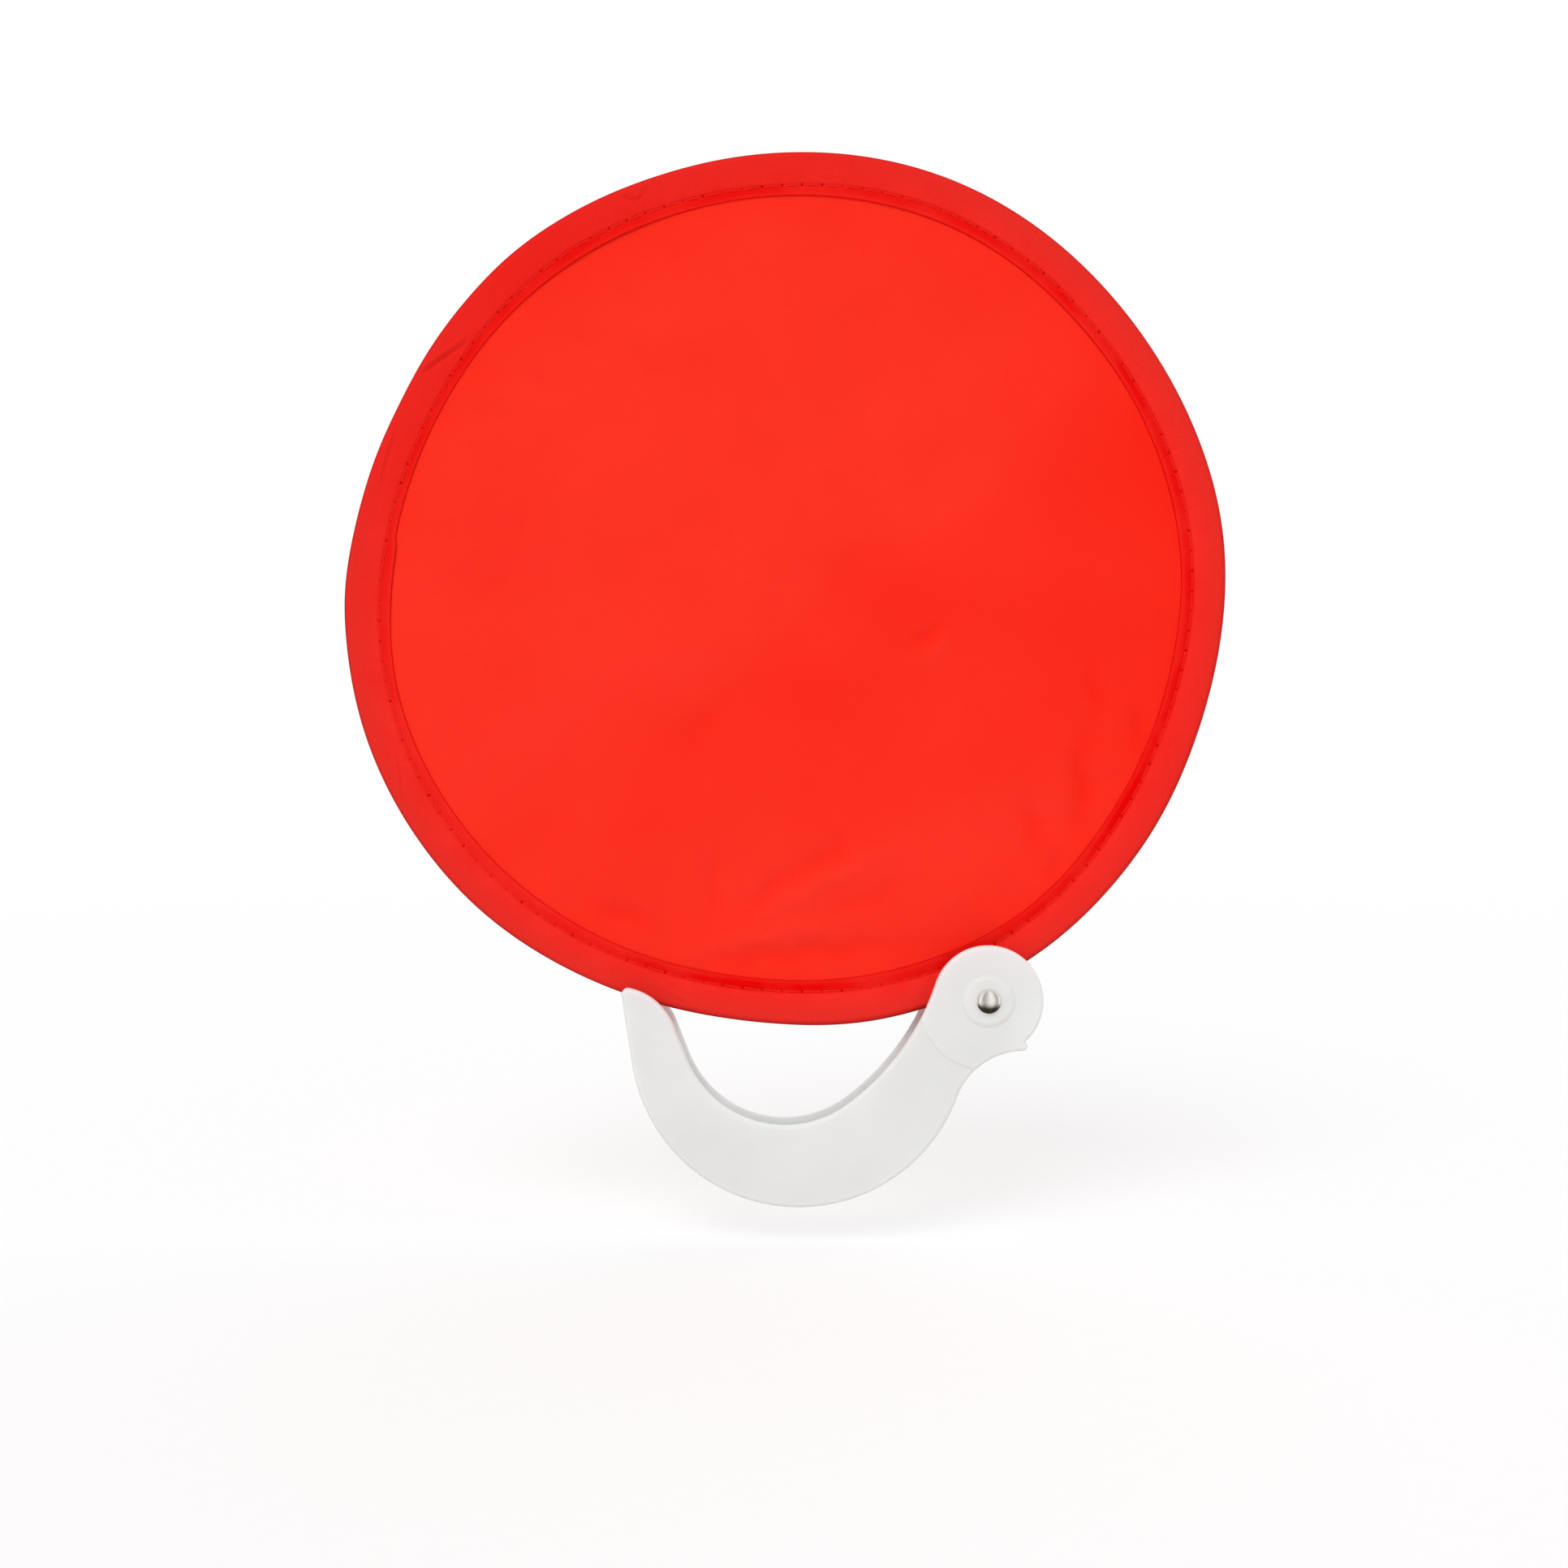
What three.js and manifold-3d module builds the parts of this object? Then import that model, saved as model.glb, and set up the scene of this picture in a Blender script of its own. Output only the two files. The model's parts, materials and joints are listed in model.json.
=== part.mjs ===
// Pop-up hand fan: a cloth disc kept open by a sprung steel hoop in its hem, hinged by a rivet in the jaw of
// a half-moon handle. The handle is an open channel, which takes the disc once it is twisted into small loops.
// Millimetres. +X is to the right, +Y away from the viewer and +Z up. The origin is the middle of the grip.

import * as THREE from "three";
import { mergeVertices } from "three/addons/utils/BufferGeometryUtils.js";
import Module from "manifold-3d";

const wasm = await Module();
wasm.setup();

// Handle outline, seen from the front
const gripDepth = 23.2; // from the arch down to the outer edge, at the origin
const archRadius = 29.6; // the round that the fingers go under
const archShift = -2.3; // its centre, to the right of the origin
const caseRadius = 47.6; // the outer edge of the half moon
const caseShift = 1.7; // its centre, to the right of the origin
const pivotReach = 55.05; // the rivet, to the right of the origin
const pivotRise = 46.7; // the rivet, above the origin
const headRadius = 15.6; // the round end that holds the rivet
const throatRadius = 70; // the long curve from the arch up to the head
const neckRadius = 20; // the hollow under the head
const nubReach = 0.1; // the middle of the stop nub's round end, past the top of that hollow
const tipLean = 9; // degrees that the tip's outer edge leans out
const tipRound = 2; // the rounded point of the tip
const crownRadius = 17.5; // the bulge along the tip's top
const crownGap = 1.07; // from the arch's circle to the crown's
const crownBearing = 189.6; // degrees, from the arch's centre to the crown's

// Handle section
const handleThickness = 14;
const cheekThickness = 1.5;
const rimWall = 1.8; // the wall along the outer edge that joins the cheeks
const edgeRound = 1.4; // fillet along the outer edges
const nubEdge = 0.5; // chamfer along the nub's edges
const padRadius = 19.5; // the step round the head, about the rivet
const padRise = 0.35; // the head stands this far above the cheek
const lipHeight = 1.2; // the front shell's lip laps behind the back shell's wall
const lipGap = 0.2;

// Rivet, its bosses and its bush
const shankRadius = 1.6;
const shankGap = 0.1;
const capRadius = 3.65;
const capRise = 2;
const capSocket = 1.1; // how far the shank enters the back cap
const socketGap = 0.05;
const dishRadius = 4.3; // flat floor that the rivet's cap sits on
const ringRadius = 7.6; // outer edge of the raised ring round it
const ringRise = 0.8;
const bossRadius = 5.5; // bosses inside the jaw
const bushWall = 0.8;
const bushGap = 0.1; // running clearance between the bush and the tab's eye
const endPlay = 0.05;

// Fan
const fanRadius = 125;
const pivotStandoff = 4.36; // from the rim's circle out to the rivet
const forkDepth = 3.9; // the rim sits this far below the tip's end
const seatGap = 0.3; // from the rim to the wall that it rests on
const panelThickness = 0.4;
const panelTuck = 3; // the panel runs this far past the seam into the hem
const tapeThickness = 0.35;
const clothGap = 0.1;
const seamInset = 9.4; // the row of stitches, in from the rim
const hemWidth = 12.4; // the tape's edge, in from the rim
const hoopWidth = 1.7; // along the fan's axis
const hoopThickness = 0.6;
const hoopEndGap = 0.5;
const ferruleWall = 0.3;
const ferruleGap = 0.05;
const ferruleLength = 18;
const tabWidth = 9.2;
const tabThickness = 0.7;
const tabMargin = 0.6; // the tab runs this far past the seam

// The set that the hoop has taken from being folded: waves round the rim, their height, and the bearing of a
// crest in degrees.
const hoopWaves = [
  { count: 2, height: 0.85, crest: 38 },
  { count: 3, height: 1.05, crest: -43 },
  { count: 4, height: 0.6, crest: 27 },
  { count: 5, height: 0.32, crest: 2 },
  { count: 6, height: 0.39, crest: 6 },
];

// Facets
const facetSag = 0.06; // the most that a facet of the handle may lie inside its arc
const filletSteps = 3;
const rimFacets = 96;
const roundFacets = 32;
const noseFacets = 6;
const reachPast = 5; // cutters run this far past what they cut

const { degToRad, euclideanModulo } = THREE.MathUtils;
const fullTurn = 2 * Math.PI;
const halfTurn = Math.PI;
const quarterTurn = Math.PI / 2;

// Plane geometry, in (x, z)
const at = (x, z) => new THREE.Vector2(x, z);
const bearing = (from, to) => Math.atan2(to.y - from.y, to.x - from.x);
const polar = (centre, radius, angle) =>
  at(centre.x + radius * Math.cos(angle), centre.y + radius * Math.sin(angle));

// Where two circles cross, on the left or the right of the way from the first centre to the second.
function crossing(first, firstRadius, second, secondRadius, side) {
  const span = first.distanceTo(second);
  const cosine = (firstRadius ** 2 + span ** 2 - secondRadius ** 2) / (2 * firstRadius * span);
  const turn = Math.acos(cosine);
  return polar(first, firstRadius, bearing(first, second) + (side === "left" ? turn : -turn));
}

function arc(centre, radius, from, to, way) {
  const clockwise = way === "clockwise";
  const sweep = euclideanModulo(clockwise ? from - to : to - from, fullTurn);
  const facetAngle = 2 * Math.acos(1 - facetSag / radius);
  const curve = new THREE.EllipseCurve(centre.x, centre.y, radius, radius, from, to, clockwise);
  return curve.getPoints(Math.ceil(sweep / facetAngle));
}

// One closed run of points from several, without the doubled ends.
function joined(...runs) {
  const least = facetSag / 2;
  const points = [];
  for (const spot of runs.flat()) {
    if (!points.length || spot.distanceTo(points.at(-1)) > least) points.push(spot);
  }
  if (points[0].distanceTo(points.at(-1)) < least) points.pop();
  return points;
}

// Solids
function solidOf(geometry) {
  const bare = geometry.clone();
  bare.deleteAttribute("normal");
  bare.deleteAttribute("uv");
  const merged = mergeVertices(bare);
  const corners = merged.index.array;
  const triangles = [];
  for (let i = 0; i < corners.length; i += 3) {
    const [a, b, c] = corners.slice(i, i + 3);
    if (a !== b && b !== c && c !== a) triangles.push(a, b, c);
  }
  return new wasm.Manifold(
    new wasm.Mesh({
      numProp: 3,
      vertProperties: new Float32Array(merged.getAttribute("position").array),
      triVerts: new Uint32Array(triangles),
    }),
  );
}

function geometryOf(solid) {
  const { vertProperties, triVerts } = solid.getMesh();
  const geometry = new THREE.BufferGeometry();
  geometry.setAttribute("position", new THREE.BufferAttribute(vertProperties, 3));
  geometry.setIndex(new THREE.BufferAttribute(triVerts, 1));
  return geometry;
}

// An outline in (x, z), extruded from the near y to the far y, with its end edges rounded over.
function prism(points, near, far, round = 0) {
  const geometry = new THREE.ExtrudeGeometry(new THREE.Shape(points), {
    depth: far - near - 2 * round,
    bevelEnabled: round > 0,
    bevelThickness: round,
    bevelSize: round,
    bevelOffset: -round,
    bevelSegments: filletSteps,
  });
  return solidOf(geometry.rotateX(quarterTurn).translate(0, far - round, 0));
}

// A profile in (radius, y), turned about the rivet.
function turned(profile) {
  const geometry = new THREE.LatheGeometry(profile, roundFacets);
  return solidOf(geometry.translate(pivot.x, 0, pivot.y));
}

const disc = (radius, near, far) =>
  turned([at(0, near), at(radius, near), at(radius, far), at(0, far)]);

// Centres that the handle's outline hangs on
const lean = degToRad(tipLean);
const archCentre = at(archShift, gripDepth / 2 + archRadius);
const caseCentre = at(caseShift, caseRadius - gripDepth / 2);
const pivot = at(pivotReach, pivotRise);
const throatCentre = crossing(
  archCentre, throatRadius - archRadius, pivot, throatRadius + headRadius, "left",
);
const neckCentre = crossing(
  caseCentre, caseRadius + neckRadius, pivot, headRadius + neckRadius, "right",
);
const crownSpan = archRadius + crownRadius + crownGap;
const crownCentre = polar(archCentre, crownSpan, degToRad(crownBearing));

// The straight run between the arch and the crown touches both, at opposite bearings.
const runBearing =
  bearing(crownCentre, archCentre) + Math.acos((archRadius + crownRadius) / crownSpan);

// The tip's outer edge leaves the case's circle here, and runs up at its lean.
const tipBearing = halfTurn + lean;
const tipRun = at(-Math.sin(lean), Math.cos(lean));

function tipLine(inset, along) {
  return polar(caseCentre, caseRadius - inset, tipBearing).addScaledVector(tipRun, along);
}

// The rounded point touches the tip's outer edge and the inside of the crown.
function tipRoundPlace() {
  const fromCrown = tipLine(tipRound, 0).sub(crownCentre);
  const along = fromCrown.dot(tipRun);
  const spare = fromCrown.lengthSq() - (crownRadius - tipRound) ** 2;
  return Math.sqrt(along ** 2 - spare) - along;
}
const tipRoundAlong = tipRoundPlace();
const tipRoundCentre = tipLine(tipRound, tipRoundAlong);

// The fan's place: the rim rests on the end of the tip's wall, and the rivet stands just outside the rim.
const seat = tipLine(rimWall / 2, tipRoundAlong + tipRound - forkDepth);
const fanCentre = crossing(
  pivot, fanRadius + pivotStandoff, seat, fanRadius + seatGap, "right",
);
const toPivot = bearing(fanCentre, pivot);
const toFan = bearing(pivot, fanCentre);

// Sizes that follow from the fits
const cheekFace = handleThickness / 2;
const cheekMiddle = cheekFace - cheekThickness / 2;
const channelFace = cheekFace - cheekThickness;
const headFace = cheekFace + padRise;
const ferruleHalf = at(
  hoopThickness / 2 + ferruleGap + ferruleWall,
  hoopWidth / 2 + ferruleGap + ferruleWall,
);
const noseRadius = ferruleHalf.length() + clothGap + tapeThickness;
const flangeHalf = panelThickness / 2 + clothGap + tapeThickness;
const hoopRadius = fanRadius - noseRadius;
const tabHalf = noseRadius + clothGap + tabThickness;
const bossFace = tabHalf + clothGap;
const bushInner = shankRadius + shankGap;
const bushOuter = bushInner + bushWall;

// Handle
function handleOutline() {
  const caseArc = arc(caseCentre, caseRadius, tipBearing, bearing(caseCentre, neckCentre));
  const neckArc = arc(
    neckCentre, neckRadius,
    bearing(neckCentre, caseCentre), bearing(neckCentre, pivot), "clockwise",
  );
  const headArc = arc(
    pivot, headRadius, bearing(pivot, neckCentre), bearing(pivot, throatCentre),
  );
  const throatArc = arc(
    throatCentre, throatRadius,
    bearing(throatCentre, pivot), bearing(throatCentre, archCentre), "clockwise",
  );
  const archArc = arc(
    archCentre, archRadius,
    bearing(throatCentre, archCentre), runBearing + halfTurn, "clockwise",
  );
  const crownEnd = bearing(crownCentre, tipRoundCentre);
  const crownArc = arc(crownCentre, crownRadius, runBearing, crownEnd);
  const tipArc = arc(tipRoundCentre, tipRound, crownEnd, tipBearing);
  return joined(caseArc, neckArc, headArc, throatArc, archArc, crownArc, tipArc);
}

// The beak that carries the rim wall's end past the head's edge.
function nubOutline() {
  const round = rimWall / 2;
  const middle = at(neckCentre.x + nubReach, neckCentre.y + neckRadius + round);
  const underside = arc(
    neckCentre, neckRadius, bearing(neckCentre, pivot), quarterTurn, "clockwise",
  );
  const end = arc(middle, round, -quarterTurn, quarterTurn);
  return joined(underside, end, [at(pivot.x, middle.y + round)]);
}

// Everything inside a wall that follows the outer edge from the tip to the nub. It is open along the arch,
// the crown and the head.
function insideWall(wall) {
  const right = pivot.x + headRadius + reachPast;
  const top = pivot.y + headRadius + reachPast;
  const floor = neckCentre.y + neckRadius + wall;
  const tipTop = tipLine(wall, (top - tipLine(wall, 0).y) / tipRun.y);
  const caseArc = arc(caseCentre, caseRadius - wall, tipBearing, bearing(caseCentre, neckCentre));
  const neckArc = arc(
    neckCentre, neckRadius + wall, bearing(neckCentre, caseCentre), quarterTurn, "clockwise",
  );
  return joined(caseArc, neckArc, [at(right, floor), at(right, top), tipTop]);
}

function handleEnvelope() {
  const outline = handleOutline();
  const body = prism(outline, -cheekFace, cheekFace, edgeRound);
  const pad = disc(padRadius, -headFace - reachPast, headFace + reachPast);
  const head = prism(outline, -headFace, headFace, edgeRound).intersect(pad);
  const nub = prism(nubOutline(), -cheekFace, cheekFace, nubEdge);
  return body.add(head).add(nub);
}

// The raised ring round the rivet, a low ridge turned about the rivet, on one side (-1 front, 1 back).
function rivetRing(side) {
  const middle = (dishRadius + ringRadius) / 2;
  const half = (ringRadius - dishRadius) / 2;
  const root = side * cheekMiddle;
  const profile = [at(dishRadius, root)];
  for (let i = 0; i <= 2 * noseFacets; i++) {
    const angle = (i / (2 * noseFacets)) * halfTurn;
    const rise = headFace + ringRise * Math.sin(angle);
    profile.push(at(middle - half * Math.cos(angle), side * rise));
  }
  profile.push(at(ringRadius, root), profile[0].clone());
  return turned(side > 0 ? profile.reverse() : profile);
}

// The rim wall keeps clear of the hem, which rests on its end in the tip.
function seatCutter() {
  const radius = fanRadius + seatGap;
  return fanTurned([
    at(0, -channelFace), at(radius, -channelFace), at(radius, channelFace), at(0, channelFace),
  ]);
}

function handleShell(side, envelope) {
  const far = cheekFace + capRise + reachPast;
  const frame = insideWall(-reachPast);
  const channel = prism(insideWall(rimWall), -channelFace, channelFace);
  const half = side < 0 ? prism(frame, -far, 0) : prism(frame, 0, far);
  let shell = envelope.intersect(half);
  if (side < 0) {
    const lip = prism(insideWall((rimWall + lipGap) / 2), -lipHeight, lipHeight);
    shell = shell.add(envelope.intersect(lip));
  } else {
    shell = shell.subtract(prism(insideWall((rimWall - lipGap) / 2), -lipHeight, lipHeight + lipGap));
  }
  const bossEnds = [side * bossFace, side * cheekMiddle];
  return shell
    .subtract(channel)
    .subtract(seatCutter())
    .add(disc(bossRadius, Math.min(...bossEnds), Math.max(...bossEnds)))
    .add(rivetRing(side))
    .subtract(disc(shankRadius + shankGap, -far, far));
}

// Rivet
function domeProfile(seatHeight) {
  const profile = [];
  for (let i = 0; i <= 2 * noseFacets; i++) {
    const angle = (i / (2 * noseFacets)) * quarterTurn;
    profile.push(at(capRadius * Math.cos(angle), seatHeight + capRise * Math.sin(angle)));
  }
  return profile;
}

function rivetPost() {
  const shankEnd = -headFace - capSocket;
  const profile = [at(0, shankEnd), at(shankRadius, shankEnd), at(shankRadius, headFace)];
  const front = new THREE.LatheGeometry([...profile, ...domeProfile(headFace)], roundFacets);
  return solidOf(front.rotateX(halfTurn).translate(pivot.x, 0, pivot.y));
}

function rivetBackCap() {
  const socketRadius = shankRadius + socketGap;
  const socketEnd = headFace + capSocket + socketGap;
  const profile = [at(0, socketEnd), at(socketRadius, socketEnd), at(socketRadius, headFace)];
  return turned([...profile, ...domeProfile(headFace)]);
}

function pivotBush() {
  const end = bossFace - endPlay;
  return turned([
    at(bushInner, -end), at(bushOuter, -end), at(bushOuter, end), at(bushInner, end),
    at(bushInner, -end),
  ]);
}

// Fan
const outOfRound = (angle) =>
  hoopWaves.reduce(
    (sum, wave) => sum + wave.height * Math.cos(wave.count * (angle - degToRad(wave.crest))), 0,
  );

// A section in (radius, y), turned about the fan's axis and let out to the hoop's own set.
function fanTurned(section) {
  const geometry = new THREE.LatheGeometry(section, rimFacets);
  const spots = geometry.getAttribute("position");
  for (let i = 0; i < spots.count; i++) {
    const x = spots.getX(i);
    const z = spots.getZ(i);
    const stretch = 1 + outOfRound(Math.atan2(z, x)) / fanRadius;
    spots.setXYZ(i, fanCentre.x + x * stretch, spots.getY(i), fanCentre.y + z * stretch);
  }
  return solidOf(geometry);
}

// The hem's outer face, from its inner edge at the back, round the nose, to its inner edge in front.
function hemFace(outset) {
  const flange = flangeHalf + outset;
  const nose = noseRadius + outset;
  const points = [at(fanRadius - hemWidth, flange), at(fanRadius - seamInset, flange)];
  for (let i = 0; i <= noseFacets; i++) {
    const angle = quarterTurn - (i / noseFacets) * halfTurn;
    points.push(at(hoopRadius + nose * Math.cos(angle), nose * Math.sin(angle)));
  }
  points.push(at(fanRadius - seamInset, -flange), at(fanRadius - hemWidth, -flange));
  return points.reverse();
}

// A folded sheet with this outer face and this inner face, open towards the fan's middle.
function foldedSection(outer, inner) {
  return [...outer, ...inner.reverse(), outer[0].clone()];
}

function ringSection(halfSize) {
  const { x, y } = halfSize;
  return [
    at(hoopRadius - x, -y), at(hoopRadius + x, -y), at(hoopRadius + x, y), at(hoopRadius - x, y),
    at(hoopRadius - x, -y),
  ];
}

// A bar across the rim at the rivet, as wide as the given length round the rim.
function barAtPivot(width) {
  const across = at(-Math.sin(toPivot), Math.cos(toPivot)).multiplyScalar(width / 2);
  const inner = polar(fanCentre, hoopRadius - reachPast, toPivot);
  const outer = polar(fanCentre, hoopRadius + reachPast, toPivot);
  const corners = [
    inner.clone().sub(across), outer.clone().sub(across),
    outer.clone().add(across), inner.clone().add(across),
  ];
  return prism(corners, -cheekFace, cheekFace);
}

function fanPanel() {
  const edge = fanRadius - seamInset + panelTuck;
  const half = panelThickness / 2;
  return fanTurned([at(0, -half), at(edge, -half), at(edge, half), at(0, half)]);
}

const edgeBinding = () => fanTurned(foldedSection(hemFace(0), hemFace(-tapeThickness)));

const hoopHalf = at(hoopThickness / 2, hoopWidth / 2);

const springHoop = () => fanTurned(ringSection(hoopHalf)).subtract(barAtPivot(hoopEndGap));

function hoopFerrule() {
  const bore = hoopHalf.clone().addScalar(ferruleGap);
  return fanTurned(ringSection(ferruleHalf))
    .intersect(barAtPivot(ferruleLength))
    .subtract(fanTurned(ringSection(bore)));
}

// A tape folded over the hem, with an eye that turns on the bush.
function pivotTab() {
  const half = tabWidth / 2;
  const length = pivotStandoff + seamInset + tabMargin;
  const across = at(-Math.sin(toFan), Math.cos(toFan)).multiplyScalar(half);
  const end = polar(pivot, length, toFan);
  const strip = joined(
    arc(pivot, half, toFan + quarterTurn, toFan - quarterTurn),
    [end.clone().sub(across), end.clone().add(across)],
  );
  const hemSpace = hemFace(clothGap);
  const fold = fanTurned(foldedSection(hemFace(clothGap + tabThickness), hemFace(clothGap)));
  const straps = fold.intersect(prism(strip, -cheekFace, cheekFace));
  return disc(half, -tabHalf, tabHalf)
    .subtract(fanTurned([...hemSpace, hemSpace[0].clone()]))
    .add(straps)
    .subtract(disc(bushOuter + bushGap, -cheekFace, cheekFace));
}

// Materials
const finish = (color, roughness, metalness = 0) =>
  new THREE.MeshStandardMaterial({ color, roughness, metalness });
const whitePlastic = finish(0xe7e7e6, 0.45);
const nickel = finish(0xc9c5bd, 0.18, 1);
const steel = finish(0x8d9094, 0.35, 1);
const redCloth = finish(0xf6291f, 0.75);
const redTape = finish(0xe5231d, 0.7);

// Assembly
function piece(name, solid, material) {
  const mesh = new THREE.Mesh(geometryOf(solid), material);
  mesh.name = name;
  return mesh;
}

const envelope = handleEnvelope();

const handle = new THREE.Group();
handle.add(
  piece("handle_front_shell", handleShell(-1, envelope), whitePlastic),
  piece("handle_back_shell", handleShell(1, envelope), whitePlastic),
  piece("rivet_post", rivetPost(), nickel),
  piece("rivet_back_cap", rivetBackCap(), nickel),
  piece("pivot_bush", pivotBush(), steel),
);

const fan = new THREE.Group();
fan.add(
  piece("fan_panel", fanPanel(), redCloth),
  piece("edge_binding", edgeBinding(), redTape),
  piece("spring_hoop", springHoop(), steel),
  piece("hoop_ferrule", hoopFerrule(), steel),
  piece("pivot_tab", pivotTab(), redTape),
);

const popUpFan = new THREE.Group();
popUpFan.add(handle, fan);

export default popUpFan;
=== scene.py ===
# Looks of the pop-up hand fan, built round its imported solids.
import json
import math
from contextlib import contextmanager

import bmesh
import bpy
import numpy as np
from mathutils import Matrix, Vector


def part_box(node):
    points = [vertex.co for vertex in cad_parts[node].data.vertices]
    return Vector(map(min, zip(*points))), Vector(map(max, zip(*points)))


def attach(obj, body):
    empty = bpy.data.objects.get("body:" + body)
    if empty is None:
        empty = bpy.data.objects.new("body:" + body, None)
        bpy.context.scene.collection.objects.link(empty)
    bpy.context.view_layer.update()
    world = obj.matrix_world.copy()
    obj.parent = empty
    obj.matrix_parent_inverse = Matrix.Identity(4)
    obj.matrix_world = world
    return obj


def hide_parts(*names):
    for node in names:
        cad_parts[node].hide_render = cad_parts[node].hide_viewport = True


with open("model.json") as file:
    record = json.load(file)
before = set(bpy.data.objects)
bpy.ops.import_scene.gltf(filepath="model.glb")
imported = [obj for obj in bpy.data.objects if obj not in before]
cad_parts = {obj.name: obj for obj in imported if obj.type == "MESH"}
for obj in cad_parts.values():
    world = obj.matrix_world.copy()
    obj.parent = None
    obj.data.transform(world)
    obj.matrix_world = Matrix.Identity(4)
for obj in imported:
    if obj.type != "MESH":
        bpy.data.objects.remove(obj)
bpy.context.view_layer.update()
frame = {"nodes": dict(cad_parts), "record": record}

# Sizes are in millimetres and turned to metres when a mesh is made.
MM = 0.001
TAU = 2 * math.pi
HALF_TURN = math.pi
QUARTER_TURN = math.pi / 2

# Handle outline, seen from the front, as in the solids
GRIP_DEPTH = 23.2
ARCH_RADIUS = 29.6
ARCH_SHIFT = -2.3
CASE_RADIUS = 47.6
CASE_SHIFT = 1.7
HEAD_RADIUS = 15.6
THROAT_RADIUS = 70
NECK_RADIUS = 20
NUB_RADIUS = 1.35
NUB_END = 66.1
TIP_LEAN = math.radians(9)
TIP_ROUND = 2
CROWN_RADIUS = 17.5
CROWN_GAP = 1.07
CROWN_BEARING = math.radians(189.6)

# Handle section
CHEEK_THICKNESS = 1.5
RIM_WALL = 1.8
EDGE_ROUND = 1.25
PAD_RADIUS = 19.5
PAD_RISE = 0.35
PAD_SOFTNESS = 0.5  # half the width of the step round the head
LIP_HEIGHT = 1.2
LIP_GAP = 0.2
SHARP_EDGE_ROUND = 0.16  # every other edge of the mouldings

# Rivet, bosses and bush
SHANK_RADIUS = 1.6
SHANK_GAP = 0.1
CAP_SOCKET = 1.1
CAP_EDGE = 0.3  # the curled edge of the cap
RING_RADIUS = 7.8
RING_SLOPE = 1.7
RING_RISE = 0.6
BOSS_RADIUS = 5.5
BOSS_EDGE = 0.3
BUSH_RADIUS = 2.5
BUSH_EDGE = 0.15

# Hem
SEAM_INSET = 9.4
HEM_WIDTH = 12.4
TAPE_THICKNESS = 0.35
SEAT_GAP = 0.3
SEAM_HEIGHT = 0.52  # the tape's face above the fan's middle plane, along the seam
SEAM_WANDER = 0.26
EDGE_WANDER = 0.16  # of the tape's inner edge
TAPE_SHORT = 0.9  # how far that edge falls short, just before the tape's end
BAND_FULLNESS = 0.16
BAND_RIPPLE = 0.035
FLANGE_LIFT = 0.03
FLANGE_WAVE = 0.05
GROOVE = (0.12, 0.5)  # depth and half width, along the seam
HOLE_DENT = (0.17, 0.45)  # the same at each needle hole
PUCKER = (0.14, 0.8)  # and beside each hole, towards the rim
PUCKER_SHIFT = 1.1
STITCHES = 127
STITCH_STEP = TAU / STITCHES
STITCH_SHARES = [0, 0.07, 0.17, 0.33, 0.5, 0.67, 0.83, 0.93]  # the hem's points along a stitch
STITCH_DRIFT = 0.16
THREAD_RADIUS = 0.16
TACK_BEARING = math.radians(175.5)
TAPE_END_BEARING = math.radians(172.8)
BULGES = [(8, 0.3, 10), (108, -0.25, 8), (129, 0.3, 7), (154, -0.3, 6), (180, 0.55, 7),
          (226, 0.4, 11), (279, 0.9, 11), (329, 0.55, 11)]  # bearing, height past the hoop and width
CREASE_WIDTH = 0.55
CREASES = [
    (142, 7.6, 149.5, 1.7, 0.5), (109, 1.9, 111, 5.2, 0.3), (113, 1.9, 111, 5.2, -0.3),
    (158, 2.6, 166, 4.4, 0.2), (203, 6.5, 209, 2.4, 0.2), (252, 6.8, 257, 3.2, 0.2),
    (22, 5.8, 26, 2.2, 0.12), (336, 6.5, 341, 2.6, 0.12), (68, 6.4, 71, 3, 0.12),
]  # from a bearing and inset, to a bearing and inset, and the height of the fold
BACK_CREASE_TURN = 57  # degrees from the front's creases to the back's
FLANGE_SHADE = 0.62  # painted shade on the flange: how deep its red is, and where it is deeper or paler, as with the bulges
FLANGE_SHADE_PATCHES = [(212, -0.28, 28), (266, 0.5, 13), (325, 0.25, 18), (350, 0.2, 18), (40, 0.18, 22)]
FRESH = [(90, 0.45, 22), (128, 0.75, 20), (160, 0.45, 14), (338, 0.3, 28)]  # purer red, as with the bulges

# Panel
PANEL_TUCK = 3
PANEL_THICKNESS = 0.3
PANEL_RINGS = 70
PANEL_SPOKES = 508
FOLDS = [
    (84, -54, 13, 91, 3.0, 1.1), (88, -28, 9, 96, 2.6, 0.7), (70, -67, 8, 98, 2.8, 0.8),
    (76, -79, 6, 70, 2.0, 0.5), (100, -38, 9, 100, 2.8, 0.6), (40, -12, 6, 40, 1.9, 0.6),
    (43, -16, 6, 40, 1.9, -0.5), (-21, -84, 9, 84, 2.2, 0.5), (-4, -84, 12, 35, 2.1, 0.7),
    (3, -87, 12, 33, 2.1, -0.6), (17, -80, 14, 28, 2.2, -0.6), (12, -75, 8, 48, 2.2, 0.6),
    (24, -87, 11, 22, 2.3, 0.5), (6, -103, 26, 5, 2.4, 0.8), (-4, -98, 22, 10, 2.0, -0.5),
    (-46, -92, 8, 160, 2.2, 0.7), (46, -88, 9, 35, 2.2, -0.4), (-82, 3, 3, 30, 2.2, 0.4),
    (-76, 20, 6, 75, 1.8, 0.3), (-58, 72, 6, 130, 1.8, 0.4), (-45, 84, 5, 120, 1.7, 0.3),
    (-69, 60, 5, 140, 1.7, 0.3), (-31, 95, 4, 105, 1.7, 0.3), (-24, -38, 8, 60, 2.2, 0.3),
]  # place from the fan's centre, half length, lean in degrees, width and depth
SLACK_LINE = (17, 0, 37, 9)  # where the painted shade starts, as the cloth turns from the light: a place, the lean and half the width
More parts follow.
